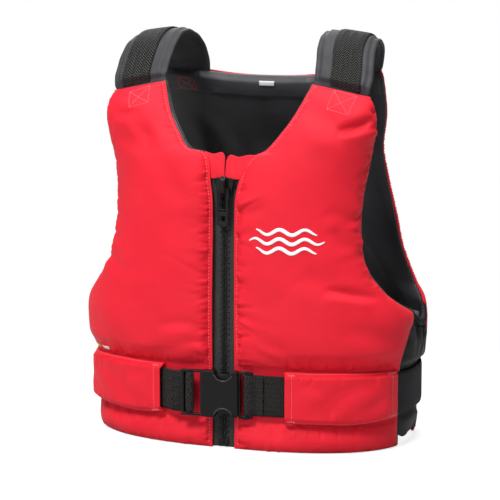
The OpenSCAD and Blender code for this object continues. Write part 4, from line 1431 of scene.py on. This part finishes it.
# ------------------------------------------------------------------ shoulders
def strap_pad(side):
    """Padded strap over the shoulder, tucked under the panels at both ends."""
    w, s = places(130, 40)
    edge = np.abs(2 * w - 1)
    tuck = ease(s / 0.07) * ease((1 - s) / 0.07)
    crown = 0.30 + 0.70 * ease((0.86 - edge) / 0.12) * (1 - 0.12 * edge**2)
    half = (0.8 + (STRAP_T / 2 - 0.8) * crown * tuck) * (1 - 0.45 * ease((edge - 0.95) / 0.05))
    ripple = 0.35 * np.sin(s * 46 + 3 * w + side) * ease((edge - 0.5) / 0.4) * tuck
    sink = -1.6 * (1 - tuck)
    outer = strap_at(s, w, half + ripple + sink)
    inner = strap_at(s, w, -half + 0.5 * ripple + sink)
    front_end = [strap_end(side, v, w[0]) for v in (0.955, 0.975, 0.99)]
    back_end = [strap_back_end(v, w[0]) for v in (0.99, 0.975, 0.955)]
    faces = []
    for k, face in enumerate((outer, inner)):
        ends = [[p[k] for p in end] for end in (front_end, back_end)]
        faces.append(np.concatenate([ends[0], face[3:-3], ends[1]]))
    outer, inner = faces
    piece = shell(f"strap_pad_{name_of(side)}", mirror(outer, side)[:, ::-1],
                  mirror(inner, side)[:, ::-1], PAD_CLOTH, nodes=[f"shoulder_pad_{name_of(side)}"],
                  turned=True)
    lines = [inset(outer[6:-6], edge_name, 2.2) for edge_name in ("left", "right")]
    sewn(f"strap_pad_stitches_{name_of(side)}", [(p, -n) for p, n in lines], side, LINING,
         long=2.2, wide=0.6)


def strap_webbing(side):
    """Webbing along the top of a strap, sunk under the panels at both ends."""
    w, s = places(130, 15)
    span = curve(s, STRAP, 4) - curve(s, STRAP, 3)
    at = WEB_IN + WEB_W / np.maximum(span, 52) * w * 0.98
    tuck = ease(s / 0.06) * ease((1 - s) / 0.06)
    thin = np.sqrt(np.maximum(1 - np.abs(2 * w - 1) ** 14, 0.08))
    lift = STRAP_T / 2 * tuck * (1 - 0.12 * np.abs(2 * at - 1) ** 2) + 0.35
    top, low = (mirror(strap_at(s, at, lift + BELT_T / 2 * (1 + k * thin) - 1.4 * (1 - tuck)),
                       side)[:, ::-1] for k in (1, -1))
    shell(f"strap_webbing_{name_of(side)}", top, low, WEBBING,
          nodes=[f"shoulder_webbing_{name_of(side)}"], turned=True)


def strap_end(side, v, w):
    """Outer and inner row of the strap pad under the top edge of the front panel."""
    u = 0.03 + 0.94 * w
    return front_at(u, v + 0 * u, 0 * u - 2.0, side), front_at(u, v + 0 * u, 0 * u - 3.4, side)


def strap_back_end(v, w):
    """Outer and inner row of the strap pad under the top edge of the back panel."""
    u = 0.30 - 0.28 * w
    return back_at(u, v + 0 * u, 0 * u - 2.0), back_at(u, v + 0 * u, 0 * u - 3.4)


def piping(side):
    """Dark edge of the lining that shows along the neck and the armhole of a front panel."""
    grid = cover_front[side]
    out = normals(grid)
    neck = (grid[:, 0] - 0.9 * out[:, 0])[grid[:, 0, 2] > 346]
    arm = (grid[:, -1] - 0.9 * out[:, -1])[grid[:, -1, 2] > 160]
    points, faces, uv = join([tube_mesh(path * [side, 1, 1], 1.0) for path in (neck, arm)])
    build(f"piping_{name_of(side)}", points, faces, LINING, uv=uv)


for side in (1, -1):
    piping(side)
    side_panel(side)
    armhole_elastic(side)
    strap_pad(side)
    strap_webbing(side)


# ------------------------------------------------------------------ stitching and marks
def cross_box(name, grid, corners, side, thread):
    """Box of stitches with a cross in it, between corners given as (across, height)."""
    lines = []
    for (x0, z0), (x1, z1) in box_of_stitches(corners):
        k = np.linspace(0, 1, 12)
        lines.append(locate(grid, x0 + (x1 - x0) * k, z0 + (z1 - z0) * k))
    sewn(name, lines, side, thread, pitch=3.2, long=2.2, wide=1.0)


cross_box("strap_box_left", cover_front[1], ((119, 416), (145, 410), (140, 390), (115, 396)), 1,
          RED_THREAD)
cross_box("strap_box_right", cover_front[-1], ((131, 408), (107, 416), (103, 398), (127, 391)), -1,
          RED_THREAD)


def printed(name, grid, path, wide, side, material):
    """Thin print along a path of (across, height) on a panel, with a width at each point."""
    x, z = path
    run = unit(np.stack([np.gradient(x), np.gradient(z)], -1))
    rows = []
    for k in (-0.5, -0.17, 0.17, 0.5):
        p, n = locate(grid, x - run[:, 1] * wide * k, z + run[:, 0] * wide * k)
        rows.append((p + n * 0.45, p - n * 0.1))
    outer, inner = (np.stack([r[i] for r in rows]) for i in (0, 1))
    shell(name, mirror(outer, side), mirror(inner, side), material)


def marks():
    """A plain mark of three waves on the chest and two plain bars low on the other side."""
    t = np.linspace(0, 1, 70)
    for k, (start, end, height) in enumerate(((44, 112, 258), (36, 120, 247.5), (44, 112, 237))):
        x = start + (end - start) * t
        z = height + 3.0 * np.sin(2 * np.pi * (x - 36) / 28)
        wide = 4.2 * np.sin(np.pi * np.clip(t, 0.01, 0.99)) ** 0.35
        printed(f"wave_mark_{k + 1}", cover_front[1], (x, z), wide, 1, INK)
    t = np.linspace(0, 1, 12)
    for name, start, end, material in (("bar_mark_lime", 190, 175, LIME_INK),
                                       ("bar_mark_white", 171, 157, INK)):
        x = start + (end - start) * t
        printed(name, cover_front[-1], (x, 99.5 + 0.06 * (190 - x) + 0 * t), 4.4 + 0 * t, -1,
                material)


marks()


def neck_label():
    u, v = places(8, 12, 0.974, 0.986, 0.492, 0.511)
    deep = lining_depth(u, v) - LINING_T - 5.0
    inner, outer = (back_at(u, v, deep - drop)[:, ::-1] for drop in (0.4, 0))
    shell("neck_label", inner, outer, LABEL, nodes=["collar_label"])


neck_label()
